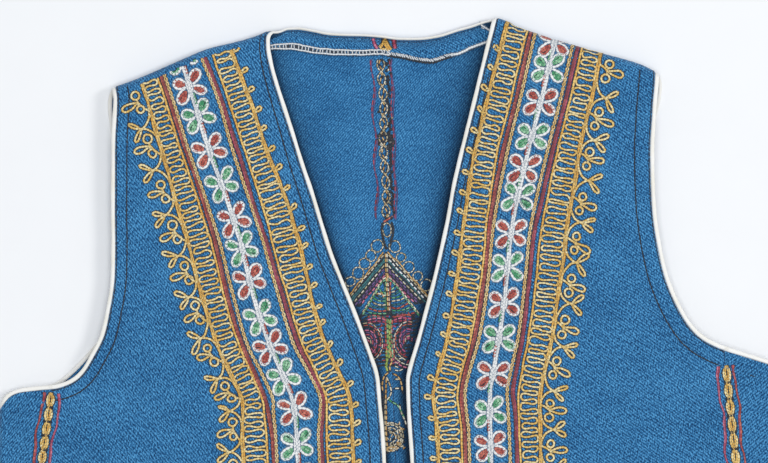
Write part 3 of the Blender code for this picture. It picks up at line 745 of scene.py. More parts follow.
    def back_outline(self):
        """Named stretches of a back half's outline, in order round it."""
        in_front = self.armhole()
        axis, radius = self.side_roll(in_front[0, 1])
        in_front = in_front[in_front[:, 0] < axis - 1]
        in_front = in_front[in_front[:, 0] > self.side_seam(in_front[:, 1]) + SEAM / 2]
        in_front[:, 0] = self.round_side(in_front[:, 0], in_front[:, 1])
        behind = self.armhole(behind=True)
        behind = behind[behind[:, 0] < axis - 1]
        lowest = [axis + math.pi / 2 * radius, self.armhole()[0, 1]]
        lead = FOLD_CURVE["lead"]
        fold = curve([in_front[lead], in_front[0], lowest, behind[0], behind[lead]])
        fold = fold[FOLD_CURVE["trim"] : -FOLD_CURVE["trim"]]
        behind, shoulder = self.over_shoulder(
            behind, self.rise, lambda a: math.pi - self.seam_turn(a), self.neck_point
        )
        a = np.linspace(self.neck_point, SEAM / 2, 90)
        axis, radius, turn = self.rise(a)
        neck = pairs(a, axis + turn * radius)
        neck[0] = shoulder[-1]
        h = np.linspace(0, in_front[-1, 1], 40)
        seam = pairs(self.round_side(self.side_seam(h) + SEAM / 2, h), h)
        seam[-1] = in_front[-1]
        hem = np.array([[SEAM / 2, 0], seam[0]])
        return {
            "hem": hem,
            "seam": seam,
            "armhole": np.vstack([in_front[::-1], fold[1:-1], behind]),
            "shoulder": shoulder,
            "neck": neck,
            "centre": np.array([neck[-1], hem[0]]),
        }

    def facing_outline(self):
        """The strip turned in along half of the back neck, cut slanting under the shoulder."""
        a = np.linspace(SEAM / 2, FACING_END[self.side], 24)
        axis, radius, turn = self.rise(a)
        upper = pairs(a, axis + turn * radius - FACING_SET_BACK)
        far = FACING_REACH[0]
        slant = np.array([[far, upper[-1, 1] - FACING_SLANT * (far - upper[-1, 0])]])
        a = np.linspace(FACING_REACH[1], SEAM / 2, 24)
        lower = pairs(a, read(FACING_EDGE, self.side, a))
        return {
            "upper": upper,
            "slant": np.vstack([upper[-1], slant, lower[0]]),
            "lower": lower,
            "centre": np.array([lower[-1], upper[0]]),
        }


class Paint:
    """A material and short calls for the nodes of its tree."""

    def __init__(self, name):
        self.material = bpy.data.materials.new(name)
        self.material.use_nodes = True
        self.tree = self.material.node_tree
        self.shader = self.tree.nodes["Principled BSDF"]

    def feed(self, socket, value):
        if isinstance(value, bpy.types.NodeSocket):
            self.tree.links.new(value, socket)
        else:
            socket.default_value = value

    def node(self, kind, out=0, settings=None, **inputs):
        """Adds a node and returns one of its outputs. Inputs are named with _ for a space."""
        made = self.tree.nodes.new("ShaderNode" + kind)
        for name, value in (settings or {}).items():
            setattr(made, name, value)
        for name, value in inputs.items():
            numbered = name[0] == "i" and name[1:].isdigit()
            self.feed(made.inputs[int(name[1:]) if numbered else name.replace("_", " ")], value)
        return made.outputs[out]

    def math(self, operation, first, second=0.0, third=0.0):
        return self.node("Math", settings={"operation": operation}, i0=first, i1=second, i2=third)

    def uv(self, name):
        return self.node("UVMap", settings={"uv_map": name})

    def split(self, vector):
        made = self.tree.nodes.new("ShaderNodeSeparateXYZ")
        self.feed(made.inputs[0], vector)
        return made.outputs

    def turned(self, vector, degrees, scale=(1, 1, 1)):
        turn = (0, 0, math.radians(degrees))
        return self.node("Mapping", Vector=vector, Rotation=turn, Scale=scale)

    def noise(self, vector, scale, detail=2.0, rough=0.5):
        return self.node("TexNoise", Vector=vector, Scale=scale, Detail=detail, Roughness=rough)

    def ranged(self, value, low, high, to_low=0.0, to_high=1.0):
        return self.node(
            "MapRange", Value=value, From_Min=low, From_Max=high, To_Min=to_low, To_Max=to_high
        )

    def mix(self, factor, first, second, blend="MIX"):
        made = self.tree.nodes.new("ShaderNodeMix")
        made.data_type = "RGBA"
        made.blend_type = blend
        self.feed(made.inputs["Factor"], factor)
        for key, colour in (("A", first), ("B", second)):
            colour = (*colour, 1) if isinstance(colour, tuple) else colour
            self.feed([s for s in made.inputs if s.name == key and s.type == "RGBA"][0], colour)
        return [s for s in made.outputs if s.type == "RGBA"][0]

    def wave(self, along, pitch, phase=0.0):
        """0 to 1 and back over each pitch."""
        turn = self.math("MULTIPLY_ADD", along, 2 * math.pi / pitch, phase)
        return self.math("MULTIPLY_ADD", self.math("COSINE", turn), 0.5, 0.5)

    def bump(self, height, distance, strength=1.0):
        normal = self.node("Bump", Height=height, Distance=distance, Strength=strength)
        self.feed(self.shader.inputs["Normal"], normal)

    def set(self, **constants):
        for name, value in constants.items():
            self.shader.inputs[name.replace("_", " ")].default_value = value


def wool(name, rib_angle, pitch, ribbed, grainy):
    """Wool twill, with its ribs turned, a pitch apart, this ribbed and this grainy."""
    paint = Paint(name)
    cloth_mm = paint.uv("cloth")
    turned = paint.turned(cloth_mm, rib_angle, (1, 0.4, 1))
    across, along, _ = paint.split(paint.turned(cloth_mm, rib_angle))
    across = paint.math("MULTIPLY_ADD", paint.noise(cloth_mm, 0.05, 2.0), 3.2, across)
    across = paint.math("MULTIPLY_ADD", paint.noise(cloth_mm, 0.4, 1.0), 0.5 * pitch, across)
    rib = paint.wave(across, pitch)
    yarn = paint.wave(along, 1.9, paint.math("MULTIPLY", across, math.pi / pitch))
    grain = paint.noise(turned, 1.15, 1.5, 0.6)
    fleck = paint.noise(cloth_mm, 1.9, 1.0, 0.5)
    height = 0.5
    for pattern, middle, weight in (
        (rib, 0.5, ribbed),
        (paint.math("MULTIPLY", rib, yarn), 0.25, 0.7 * ribbed),
        (grain, 0.5, 3.4 * grainy),
        (fleck, 0.5, 2.6 * grainy),
    ):
        off = paint.math("SUBTRACT", pattern, middle)
        height = paint.math("MULTIPLY_ADD", off, weight, height)
    patch = paint.ranged(paint.noise(cloth_mm, 0.035, 3.0), 0.3, 0.7, -0.09, 0.09)
    shade = paint.math("ADD", height, patch)
    colour = paint.mix(paint.ranged(shade, 0.0, 0.5), WOOL_DARK, WOOL_MIDDLE)
    colour = paint.mix(paint.ranged(shade, 0.5, 1.0), colour, WOOL_LIGHT)
    shaded = paint.node("Attribute", 2, {"attribute_name": "shaded"})
    colour = paint.mix(paint.math("MULTIPLY", shaded, 0.9), colour, WOOL_SHADED)
    paint.feed(paint.shader.inputs["Base Color"], colour)
    paint.set(Roughness=0.92, Sheen_Weight=0.15, Sheen_Roughness=0.5, Specular_IOR_Level=0.2)
    paint.bump(height, 0.3 * MM, 0.6)
    return paint.material


def strip_cloth(name):
    """A folded ivory strip with a close weave, a little grubby in places."""
    paint = Paint(name)
    along_mm = paint.uv("cloth")
    u, v, _ = paint.split(along_mm)
    weave = paint.math("MULTIPLY", paint.wave(v, 0.55), paint.wave(u, 0.5))
    slub = paint.noise(along_mm, 0.9, 2.0)
    stain = paint.ranged(paint.noise(along_mm, 0.06, 2.0), 0.42, 0.75)
    colour = paint.mix(stain, (0.97, 0.96, 0.93), (0.90, 0.87, 0.77))
    colour = paint.mix(paint.ranged(weave, 0.0, 1.0, 0.08, 0.0), colour, (0.55, 0.50, 0.40))
    paint.feed(paint.shader.inputs["Base Color"], colour)
    paint.set(Roughness=0.7, Sheen_Weight=0.1)
    paint.bump(paint.math("MULTIPLY_ADD", slub, 0.5, weave), 0.15 * MM, 0.6)
    return paint.material


def thread(name, light, colour, shadow, roughness=0.5):
    """Twisted thread, with painted shade at its sides, down its middle and where a link is pinched.
    """
    paint = Paint(name)
    u, v, _ = paint.split(paint.uv("thread"))
    twist = paint.wave(paint.math("MULTIPLY_ADD", u, 1.2, v), 0.22)
    link = paint.math("FLOOR", v)
    each = paint.node("TexWhiteNoise", settings={"noise_dimensions": "1D"}, W=link)
    patch = paint.ranged(paint.noise(paint.node("TexCoord", out=3), 60.0, 2.0), 0.3, 0.7)
    pinch = paint.math("ABSOLUTE", paint.math("SUBTRACT", paint.math("FRACT", v), 0.5))
    side = paint.ranged(paint.math("ABSOLUTE", u), 0.39, 0.50, 0.0, 1.0)
    middle = paint.ranged(paint.math("ABSOLUTE", u), 0.0, 0.12, 0.25, 0.0)
    pinched = paint.ranged(pinch, 0.36, 0.49, 0.0, 0.6)
    shade = paint.math("ADD", pinched, paint.math("ADD", side, middle))
    shade = paint.math("MULTIPLY_ADD", twist, 0.12, shade)
    shade = paint.math("MINIMUM", shade, 1.0)
    lit = paint.ranged(paint.math("MULTIPLY_ADD", patch, 0.5, each), 0.45, 1.2)
    cast = paint.mix(lit, colour, light)
    paint.feed(paint.shader.inputs["Base Color"], paint.mix(shade, cast, shadow))
    paint.set(Roughness=roughness, Sheen_Weight=0.1)
    paint.bump(twist, 0.08 * MM, 0.5)
    return paint.material


def new_piece(name, verts, faces, uv_name, uvs, material, replaced=()):
    """Makes a mesh from points in millimetres and gives it to the vest's body."""
    mesh = bpy.data.meshes.new(name)
    verts = np.asarray(verts, float) * MM
    mesh.from_pydata(verts.tolist(), [], faces.tolist() if hasattr(faces, "tolist") else faces)
    layer = mesh.uv_layers.new(name=uv_name)
    loop_verts = np.empty(len(mesh.loops), np.int32)
    mesh.loops.foreach_get("vertex_index", loop_verts)
    layer.data.foreach_set("uv", np.asarray(uvs, np.float32)[loop_verts].ravel())
    mesh.polygons.foreach_set("use_smooth", np.ones(len(mesh.polygons), bool))
    mesh.materials.append(material)
    made = bpy.data.objects.new(name, mesh)
    bpy.context.scene.collection.objects.link(made)
    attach(made, "root")
    if replaced:
        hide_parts(*replaced)
    return made


def shell(node, line, inside, place, faces_at, materials):
    """The cloth wall that stands for a node, over the pattern inside a closed line.

    Its edges are turned. materials are those of the pattern's face and of the one under it.
    """
    rows = [inset(line, by) for by in EDGE_ROWS]
    points = np.vstack([line, *rows, clear_of(inside, line, EDGE_ROWS[-1] + GRID / 3)])
    corners = [Vector(point) for point in points]
    ring = [(i, (i + 1) % len(line)) for i in range(len(line))]
    flat, _, triangles = delaunay_2d_cdt(corners, ring, [], 1, 1e-6)[:3]
    flat = np.array([tuple(point) for point in flat])
    triangles = np.array(triangles)
    used = np.unique(triangles)
    renumber = np.full(len(flat), -1)
    renumber[used] = np.arange(len(used))
    flat, triangles = flat[used], renumber[triangles]
    near = np.minimum(distance_to(flat, np.vstack([line, line[:1]])), EDGE_ROUND)
    turned = EDGE_ROUND - np.sqrt(EDGE_ROUND**2 - (EDGE_ROUND - near) ** 2)
    outer = place(flat[:, 0], flat[:, 1], faces_at[0] + turned)
    inner = place(flat[:, 0], flat[:, 1], faces_at[1] - turned)
    count = len(flat)
    edges = np.vstack([triangles[:, [0, 1]], triangles[:, [1, 2]], triangles[:, [2, 0]]])
    edge_ends = np.sort(edges, axis=1)
    _, first, uses = np.unique(edge_ends, axis=0, return_index=True, return_counts=True)
    rim = edges[first[uses == 1]]
    walls = np.stack([rim[:, 1], rim[:, 0], rim[:, 0] + count, rim[:, 1] + count], axis=1)
    faces = triangles.tolist() + (triangles[:, ::-1] + count).tolist() + walls.tolist()
    uvs = np.vstack([flat, flat])
    spots = np.vstack([outer, inner])
    made = new_piece(node + "_cloth", spots, faces, "cloth", uvs, materials[0], [node])
    made.data.materials.append(materials[1])
    under = np.arange(len(faces)) >= len(triangles)
    made.data.polygons.foreach_set("material_index", under.astype(np.int32))
    outward_faces(made)
    return made


def outward_faces(made):
    """Turns the faces of a closed mesh to the outside."""
    builder = bmesh.new()
    builder.from_mesh(made.data)
    bmesh.ops.recalc_face_normals(builder, faces=builder.faces)
    builder.to_mesh(made.data)
    builder.free()


def piping_run(line, inner_place, place, piping):
    """(points, directions out of the panel) along a stretch of its edge, for its piping."""
    points = place(line[:, 0], line[:, 1], piping["depth"])
    beyond = line + outward(line, inner_place) * piping["width"]
    return points, place(beyond[:, 0], beyond[:, 1], piping["depth"]) - points


def piping_strip(node, points, across, piping, closed, material):
    """A folded strip beside an edge, rounded, and a little thicker where it is sewn on than at its
    fold.
    """
    if closed:
        tangents = np.roll(points, -1, axis=0) - np.roll(points, 1, axis=0)
    else:
        tangents = np.gradient(points, axis=0)
    tangents = unit_rows(tangents)
    up = unit_rows(np.cross(tangents, across))
    square = np.cross(tangents, up)
    across = square * np.sign((square * across).sum(axis=1))[:, None]
    w, t = piping["width"] / 2, piping["thick"] / 2
    turn = np.linspace(0, 2 * math.pi, 12, endpoint=False)
    out, over = w * np.cos(turn), t * np.sin(turn) * (1 - 0.18 * np.cos(turn))
    along = lengths(points)
    uneven = 1 + 0.05 * np.sin(along / 7.3) + 0.04 * np.sin(along / 2.9 + 1)
    middles = points + across * (SEAM + w)
    rings = (
        middles[:, None]
        + across[:, None] * (out[None, :, None] * uneven[:, None, None])
        + up[:, None] * over[None, :, None]
    )
    count, sides = len(points), len(turn)
    faces = []
    for i in range(count if closed else count - 1):
        for j in range(sides):
            k, n = (j + 1) % sides, (i + 1) % count
            faces.append((i * sides + j, i * sides + k, n * sides + k, n * sides + j))
    if not closed:
        faces.append(tuple(range(sides)))
        faces.append(tuple(range((count - 1) * sides, count * sides)))
    uvs = pairs(np.tile(turn * (w + t) / 2, count), np.repeat(along, sides))
    spots = rings.reshape(-1, 3)
    made = new_piece(node + "_strip", spots, faces, "cloth", uvs, material, [node])
    outward_faces(made)
    return made


class Stitches:
    """All the stitches of one thread on one panel, made into one piece."""

    def __init__(self, name, place, material, slot="wool"):
        self.name, self.place, self.material, self.slot = name, place, material, slot
        self.starts, self.ends, self.sizes, self.dashed = [], [], [], []

    def add(self, starts, ends, width, height, dashed=False):
        self.starts.append(starts)
        self.ends.append(ends)
        self.sizes.append(np.tile([width, height], (len(starts), 1)))
        self.dashed.append(np.full(len(starts), dashed))

    def chain(self, path, width=1.15, height=0.5, link=2.1, jitter=0.1):
        """A row of chain stitches along a path in the pattern."""
        if len(path) < 2 or lengths(path)[-1] < 0.6 * link:
            return
        points = spaced(path, link * LINK_LONG)
        points = shaken(points, jitter)
        self.add(points[:-1], points[1:], width * FULLNESS, height)

    def dashes(self, path, stitch=2.6, gap=0.9, width=0.5, height=0.22):
        """A row of plain stitches with gaps between them."""
        marks = np.arange(0.5, lengths(path)[-1] - stitch, stitch + gap)
        along = lengths(path)
        starts, ends = (columns_at(at, along, path) for at in (marks, marks + stitch))
        self.add(starts, ends, width, height, True)

    def make(self):
        starts, ends = np.vstack(self.starts), np.vstack(self.ends)
        sizes, dashed = np.vstack(self.sizes), np.concatenate(self.dashed)[:, None]
        step = ends - starts
        across = pairs(step[:, 1], -step[:, 0])
        across /= np.maximum(np.linalg.norm(across, axis=1), 1e-6)[:, None]
        along = np.where(dashed, DASH_ALONG, LINK_ALONG)
        width = np.where(dashed, DASH_WIDTH, LINK_WIDTH) * sizes[:, :1] / 2
        height = np.where(dashed, DASH_HEIGHT, LINK_HEIGHT) * sizes[:, 1:]
        side = width[:, :, None] * LINK_ACROSS
        middles = starts[:, None] + step[:, None] * along[..., None]
        flat = middles[:, :, None] + across[:, None, None] * side[..., None]
        lift = height[:, :, None] * LINK_RISE - THREAD_SUNK
        spots = self.place(flat[..., 0].ravel(), flat[..., 1].ravel(), lift.ravel())
        rings, sides = len(LINK_ALONG), len(LINK_ACROSS)
        one = [
            (r * sides + s, r * sides + s + 1, (r + 1) * sides + s + 1, (r + 1) * sides + s)
            for r in range(rings - 1)
            for s in range(sides - 1)
        ]
        first = np.arange(len(starts)) * rings * sides
        faces = (first[:, None, None] + np.array(one)[None]).reshape(-1, 4)
        u = np.tile(LINK_ACROSS, len(starts) * rings)
        v = np.repeat((np.arange(len(starts))[:, None] + along.clip(0.01, 0.99)).ravel(), sides)
        uvs = pairs(u, v)
        return new_piece(self.name, spots, faces, "thread", uvs, self.material)


class Line:
    """A line in the pattern. v is the distance off it, towards +a where it goes up."""

    def __init__(self, points):
        self.points = np.asarray(points, float)
        self.along = lengths(self.points)
        tangents = unit_rows(np.gradient(self.points, axis=0))
        self.off = pairs(tangents[:, 1], -tangents[:, 0])

    def at(self, s, v=0.0):
        spot, off = (columns_at(s, self.along, values) for values in (self.points, self.off))
        off = off / np.linalg.norm(off, axis=-1, keepdims=True)
        return spot + off * np.asarray(v, float)[..., None]

    def over(self, path):
        """A path given as (s, v) beside the line."""
        return self.at(path[:, 0], path[:, 1])

    def s_of(self, h):
        return np.interp(h, self.points[:, 1], self.along)


def leaf(length, width, fullness=0.6):
    """A closed loop from the origin out along +x and back, widest nearer its tip."""
    t = np.linspace(0, 1, 25)
    x = length * (1 - np.cos(2 * math.pi * t)) / 2
    y = width / 2 * np.sin(2 * math.pi * t) * (x / length) ** fullness * 1.25
    return pairs(x, y)


def moved(path, degrees=0.0, by=(0.0, 0.0)):
    """The path turned about the origin, then moved."""
    turn = math.radians(degrees)
    c, s = math.cos(turn), math.sin(turn)
    return path @ np.array([[c, s], [-s, c]]) + np.asarray(by, float)


def ring(diameter, start=0.0):
    """A circle round the origin, from one turn on."""
    turn = np.linspace(0, 2 * math.pi, 17) + start
    return diameter / 2 * pairs(np.cos(turn), np.sin(turn))


def arc(reach, tall, start, end, count):
    """Part of an oval round the origin, from one turn in degrees to another."""
    turn = np.radians(np.linspace(start, end, count))
    return pairs(reach * np.cos(turn), tall * reach * np.sin(turn))


def meander(length, pitch):
    """(s, v) of a line that swings from -1 to 1, in round loops with narrow necks."""
    turn = np.arange(0, 2 * math.pi * length / pitch, 0.12)
    s = pitch * turn / (2 * math.pi) - 1.15 * np.sin(2 * turn)
    return s, np.sin(turn)


def brace(s0, s1, v0, out):
    """(s, v) from the line at s0 out to a cusp at s1."""
    t = np.linspace(0, 1, 14)
    return s0 + (s1 - s0) * np.sin(t * math.pi / 2), v0 + out * (1 - np.cos(t * math.pi / 2))


class FrontEmbroidery:
    """The chain-stitched bands of one front, row by row beside the stem of its flowers."""

    def __init__(self, half, paints):
        self.half = half
        side = half.side
        rows = BANDS[side]
        h = np.arange(5.0, LENGTH + OVERRUN, 1.0)
        stem = read(STEM, side, h)
        self.lines = {"stem": Line(pairs(stem, h))}
        for name in list(rows)[1:]:
            a = stem + read(rows, name, h)
            self.lines[name] = Line(pairs(a, h))
        self.threads = {
            name: Stitches(f"{name}_thread_{side}", half.over_front, paint)
            for name, paint in paints.items()
        }
        self.sew_lines()
        self.sew_meanders()
        self.sew_picots()
        self.sew_flowers()
        self.sew_sprigs()

    def sew(self, colour, path, **how):
        """Chains a path as far as the bands reach: up to their top and down to the hem."""
        fine = spaced(path, 0.4)
        top = self.half.shoulder_line(fine[:, 0]) + BAND_TOP[self.half.side]
        keep = (fine[:, 1] < top) & (fine[:, 1] > BAND_FOOT)
        cuts = np.flatnonzero(np.diff(keep.astype(int))) + 1
        for part, kept in zip(np.split(fine, cuts), np.split(keep, cuts)):
            if kept[0] and len(part) > 4:
                self.threads[colour].chain(part, **how)

    def row(self, colour, line, v, sway=0.12, start=0.0, end=None, **how):
        """A row beside a line, swaying a little from side to side."""
        line = self.lines[line]
        s = np.arange(start, line.along[-1] if end is None else end, 0.5)
        first, second = RNG.uniform(0, 6.3, 2)
        swayed = v + sway * (np.sin(s / 8.7 + first) + np.sin(s / 3.9 + second))
        self.sew(colour, line.at(s, swayed), **how)

    def sew_lines(self):
        """The rows that run the length of the bands."""
        for v, sway in ((-0.6, 0.2), (0.5, 0.25), (0.0, 0.4)):
            for line in ("gold_out", "gold_in"):
                self.row("gold", line, v, sway, width=0.95)
        for line in ("thin_out", "thin_in"):
            self.row("gold", line, 0.0, 0.1, width=1.0)
        for line, colours in zip(("red_out", "red_in"), RED_ROWS[self.half.side]):
            for colour, v in zip(colours, (0.42, -0.42)):
                self.row(colour, line, v, 0.08, width=1.0)
        for line in ("yellow_out", "yellow_in"):
            # A flat navy row under the straw ovals is painted shade between and beside their
            # strands.
            self.row("navy", line, 0.0, 0.05, width=0.9, height=0.3, link=2.6)
            line = self.lines[line]
            for strand in ovals(line, np.arange(0, line.along[-1], 0.5), 1.7, 3.3):
                self.sew("straw", strand, width=0.68, height=0.6, link=1.35, jitter=0.08)

    def sew_meanders(self):
        """The pale line that swings between the thin and the thick gold rows."""
        for thin, thick in (("thin_out", "gold_out"), ("thin_in", "gold_in")):
            one, two = self.lines[thin].points, self.lines[thick].points
            middle = Line((one + two) / 2)
            reach = np.abs(one[:, 0] - two[:, 0]) / 2 - 0.9
            s, v = meander(middle.along[-1], MEANDER_PITCH)
            marks = np.arange(0, s[-1] + MEANDER_PITCH, MEANDER_PITCH / 2)
            wider, later = RNG.normal(1, 0.09, len(marks)), RNG.normal(0, 0.5, len(marks))
            v = v * np.interp(s, middle.along, reach) * np.interp(s, marks, wider)
            s = s + np.interp(s, marks, later)
            self.sew("pale", middle.at(s, v), width=0.92, height=0.5, link=2.1, jitter=0.2)

    def sew_picots(self):
        """Small loops that stand on the inner gold row."""
        line = self.lines["gold_in"]
        top, pitch = PICOTS[self.half.side]
        for h in np.arange(top, 12, -pitch):
            h = h + RNG.normal(0, 0.5)
            length, width = RNG.normal(5.4, 0.4), RNG.normal(2.9, 0.3)
            loop = moved(leaf(length, width), -66 + RNG.normal(0, 8), (line.s_of(h), -0.6))
            self.sew("pale", line.over(loop), width=1.0, link=1.6)

    def flower(self, s, colour):
        """Petals round a place on the stem: outline, filling and a row down the middle."""
        stem = self.lines["stem"]
        for turn, length, width in zip(*PETALS.values()):
            length, width = length + RNG.normal(0, 0.4), width + RNG.normal(0, 0.35)
            degrees = turn * self.half.sign + RNG.normal(0, 4)
            outline = moved(leaf(length, width, 0.5), degrees, (s, 0))
            self.sew("white", stem.over(outline), width=1.12, link=2.4, jitter=0.17)
            filled = leaf(length * 0.64, width * 0.58, 0.5) + [length * 0.29, RNG.normal(0, 0.2)]
            filled = moved(filled, degrees, (s, 0))
            self.sew(colour, stem.over(filled), width=1.15, link=1.8, jitter=0.16)
            down, off = length * np.linspace(0.36, 0.82, 6), RNG.normal(0, 0.25, 6)
            middle = moved(pairs(down, off), degrees, (s, 0))
            self.sew(colour, stem.over(middle), width=1.2, link=1.8, jitter=0.1)
        for v in (-1.3, -0.5, 0.4, 1.2):
            reach = 5.0 - abs(v)
            self.row("white", "stem", v, 0.12, s - reach, s + reach, width=1.15, height=0.8)

    def sew_flowers(self):
        stem = self.lines["stem"]
        heights = list(FLOWERS[self.half.side])
        while heights[-1] - FLOWER_PITCH > 12:
            heights.append(heights[-1] - FLOWER_PITCH)
        colours = FLOWER_COLOURS[self.half.side]
        for v in (-0.5, 0.55):
            self.row("white", "stem", v, 0.12, width=1.05)
        for index, h in enumerate(heights):
            s = stem.s_of(h - FLOWER_DROP)
            self.flower(s, colours[index % 2])
            run = stem.at(np.linspace(s - 13, s - 5, 12), -1.3)
            self.sew(colours[(index + 1) % 2], run, width=0.9, link=1.8)

    def sprig(self, path, line):
        self.sew("pale", line.over(path), width=1.0, link=1.8, jitter=0.13)

    def fork(self, line, cusp, above, below):
        """A cusp between two trefoils, with two leaves on it."""
        out = RNG.normal(9.3, 0.3)
        for end in (above, below):
            s, v = brace(end, cusp, 0.4, out)
            self.sprig(pairs(s, v), line)
        for degrees in (58, 133):
            path = leaf(RNG.normal(10, 0.6), RNG.normal(3.0, 0.3))
            self.sprig(moved(path, degrees + RNG.normal(0, 6), (cusp, out)), line)

    def trefoil(self, line, centre):
        """Two rings and a leaf on a short bent stem."""
        out = RNG.normal(6.4, 0.3)
        root = {"right": -8.0, "left": 3.5}[self.half.side]
        stem = curve([(centre + root, 0.3), (centre + root * 0.62, 3.6), (centre, out)], 6)
        self.sprig(stem, line)
        for way in (1, -1):
            size = RNG.normal(5.6, 0.35)
            path = ring(size, -way * math.pi / 2 - 0.2 * way)
            spot = (centre + way * (size / 2 + 2.1), out + 0.3 * way)
            self.sprig(path @ np.array([[0, 1], [1, 0]]) + spot, line)
            self.sprig(np.array([(centre, out), (centre + way * 2.2, out + 0.2)]), line)
        path = leaf(RNG.normal(11.2, 0.6), RNG.normal(4.3, 0.3))
        self.sprig(moved(path, 98 + RNG.normal(0, 6), (centre, out)), line)

    def sew_sprigs(self):
        side = self.half.side
        line = self.lines["gold_out"]
        forks, trefoils = list(SPRIGS["fork_" + side]), list(SPRIGS["trefoil_" + side])
        while forks[-1] - SPRIG_PITCH > 18:
            forks.append(forks[-1] - SPRIG_PITCH)
            trefoils.append(trefoils[-1] - SPRIG_PITCH)
        for index, h in enumerate(trefoils):
            self.trefoil(line, line.s_of(h + RNG.normal(0, 0.4)))
            below = trefoils[index + 1] if index + 1 < len(trefoils) else h - SPRIG_PITCH
            ends = (line.s_of(h - 2), line.s_of(below + 2))
            self.fork(line, line.s_of(forks[index] + RNG.normal(0, 0.4)), *ends)

    def make(self):
        return [thread.make() for thread in self.threads.values()]


def ovals(line, s, width, pitch, phase=0.0):
    """Two strands that cross once each pitch along a line, as a chain of ovals."""
    bulge = np.sin(math.pi * s / pitch + phase)
    swell = width / 2 * np.sign(bulge) * np.abs(bulge) ** 0.75
    return [line.at(s, way * swell) for way in (1, -1)]


def sew_side_seam(half, paints):
    """Gold ovals on the side seam between two wavering red lines, from underarm to hem."""
    pieces = {
        name: Stitches(f"seam_{name}_{half.side}", half.over_front, paints[name])
        for name in ("pale", "gold", "crimson", "rust", "pink", "navy")
    }
    arm = half.armhole()
    h = np.arange(6.0, arm[0, 1] + 13, 1.0)
    h = h[half.side_seam(h) < half.side_fold(h) - 12]
    edge = np.interp(half.side_seam(h) + 6, arm[::-1, 0], arm[::-1, 1])
    h = h[h < edge - 1.5]
    line = Line(pairs(half.side_seam(h) + 0.6, h)[::-1])
    s = np.arange(0, line.along[-1], 0.5)
    pitch = SEAM_PITCH[half.side]
    for strand in ovals(line, s, 4.2, pitch):
        pieces["pale"].chain(shaken(strand, 0.1), width=1.15, link=1.9)
    for strand in ovals(line, s, 2.0, pitch, 0.25):
        pieces["gold"].chain(strand, width=0.85, height=0.6, link=1.8)
    for s_knot in np.arange(pitch, line.along[-1] - 4, pitch):
        for off in (-1.9, 1.9, RNG.uniform(-0.5, 0.5)):
            ends = line.at(s_knot + np.array([-1.4, 1.2]), off + RNG.normal(0, 0.3, 2))
            pieces["navy"].add(ends[:1], ends[1:], 1.3, 0.5 if abs(off) > 1 else 0.75, True)
    for colour, off, size in zip(*SEAM_ROWS.values()):
        way = np.sin(s / 6.9 + off) * size + 0.35 * np.sin(s / 2.7 + off)
        pieces[colour].chain(line.at(s, off + way), width=0.62, link=2.3)
    return [piece.make() for piece in pieces.values()]


def sew_topstitch(half, paints):
    """The rows beside a front's edge and armhole, and finer dark rows just inside their piping."""
    sewn = Stitches("topstitch_" + half.side, half.over_front, paints["navy"])
    for line in half.topstitch:
        sewn.chain(line, width=0.36, height=0.34, link=2.7, jitter=0.03)
    for name, inner in (("edge", INSIDE_FRONT), ("armhole", INSIDE_ARM)):
        line = half.front_lines[name]
        line = spaced(smoothed(line - outward(line, inner) * 0.8, 2), 2.0)
        sewn.chain(line, width=0.27, height=0.2, link=3.2, jitter=0.02)
    return sewn.make()


def across_halves(halves, place):
    """A place on both halves, by x, the distance to the wearer's left of the centre line."""

    def placed(x, h, lift):
        right, left = (place(halves[side], np.abs(x), h, lift) for side in SIDES)
        return np.where((x < 0)[:, None], right, left)

    return placed


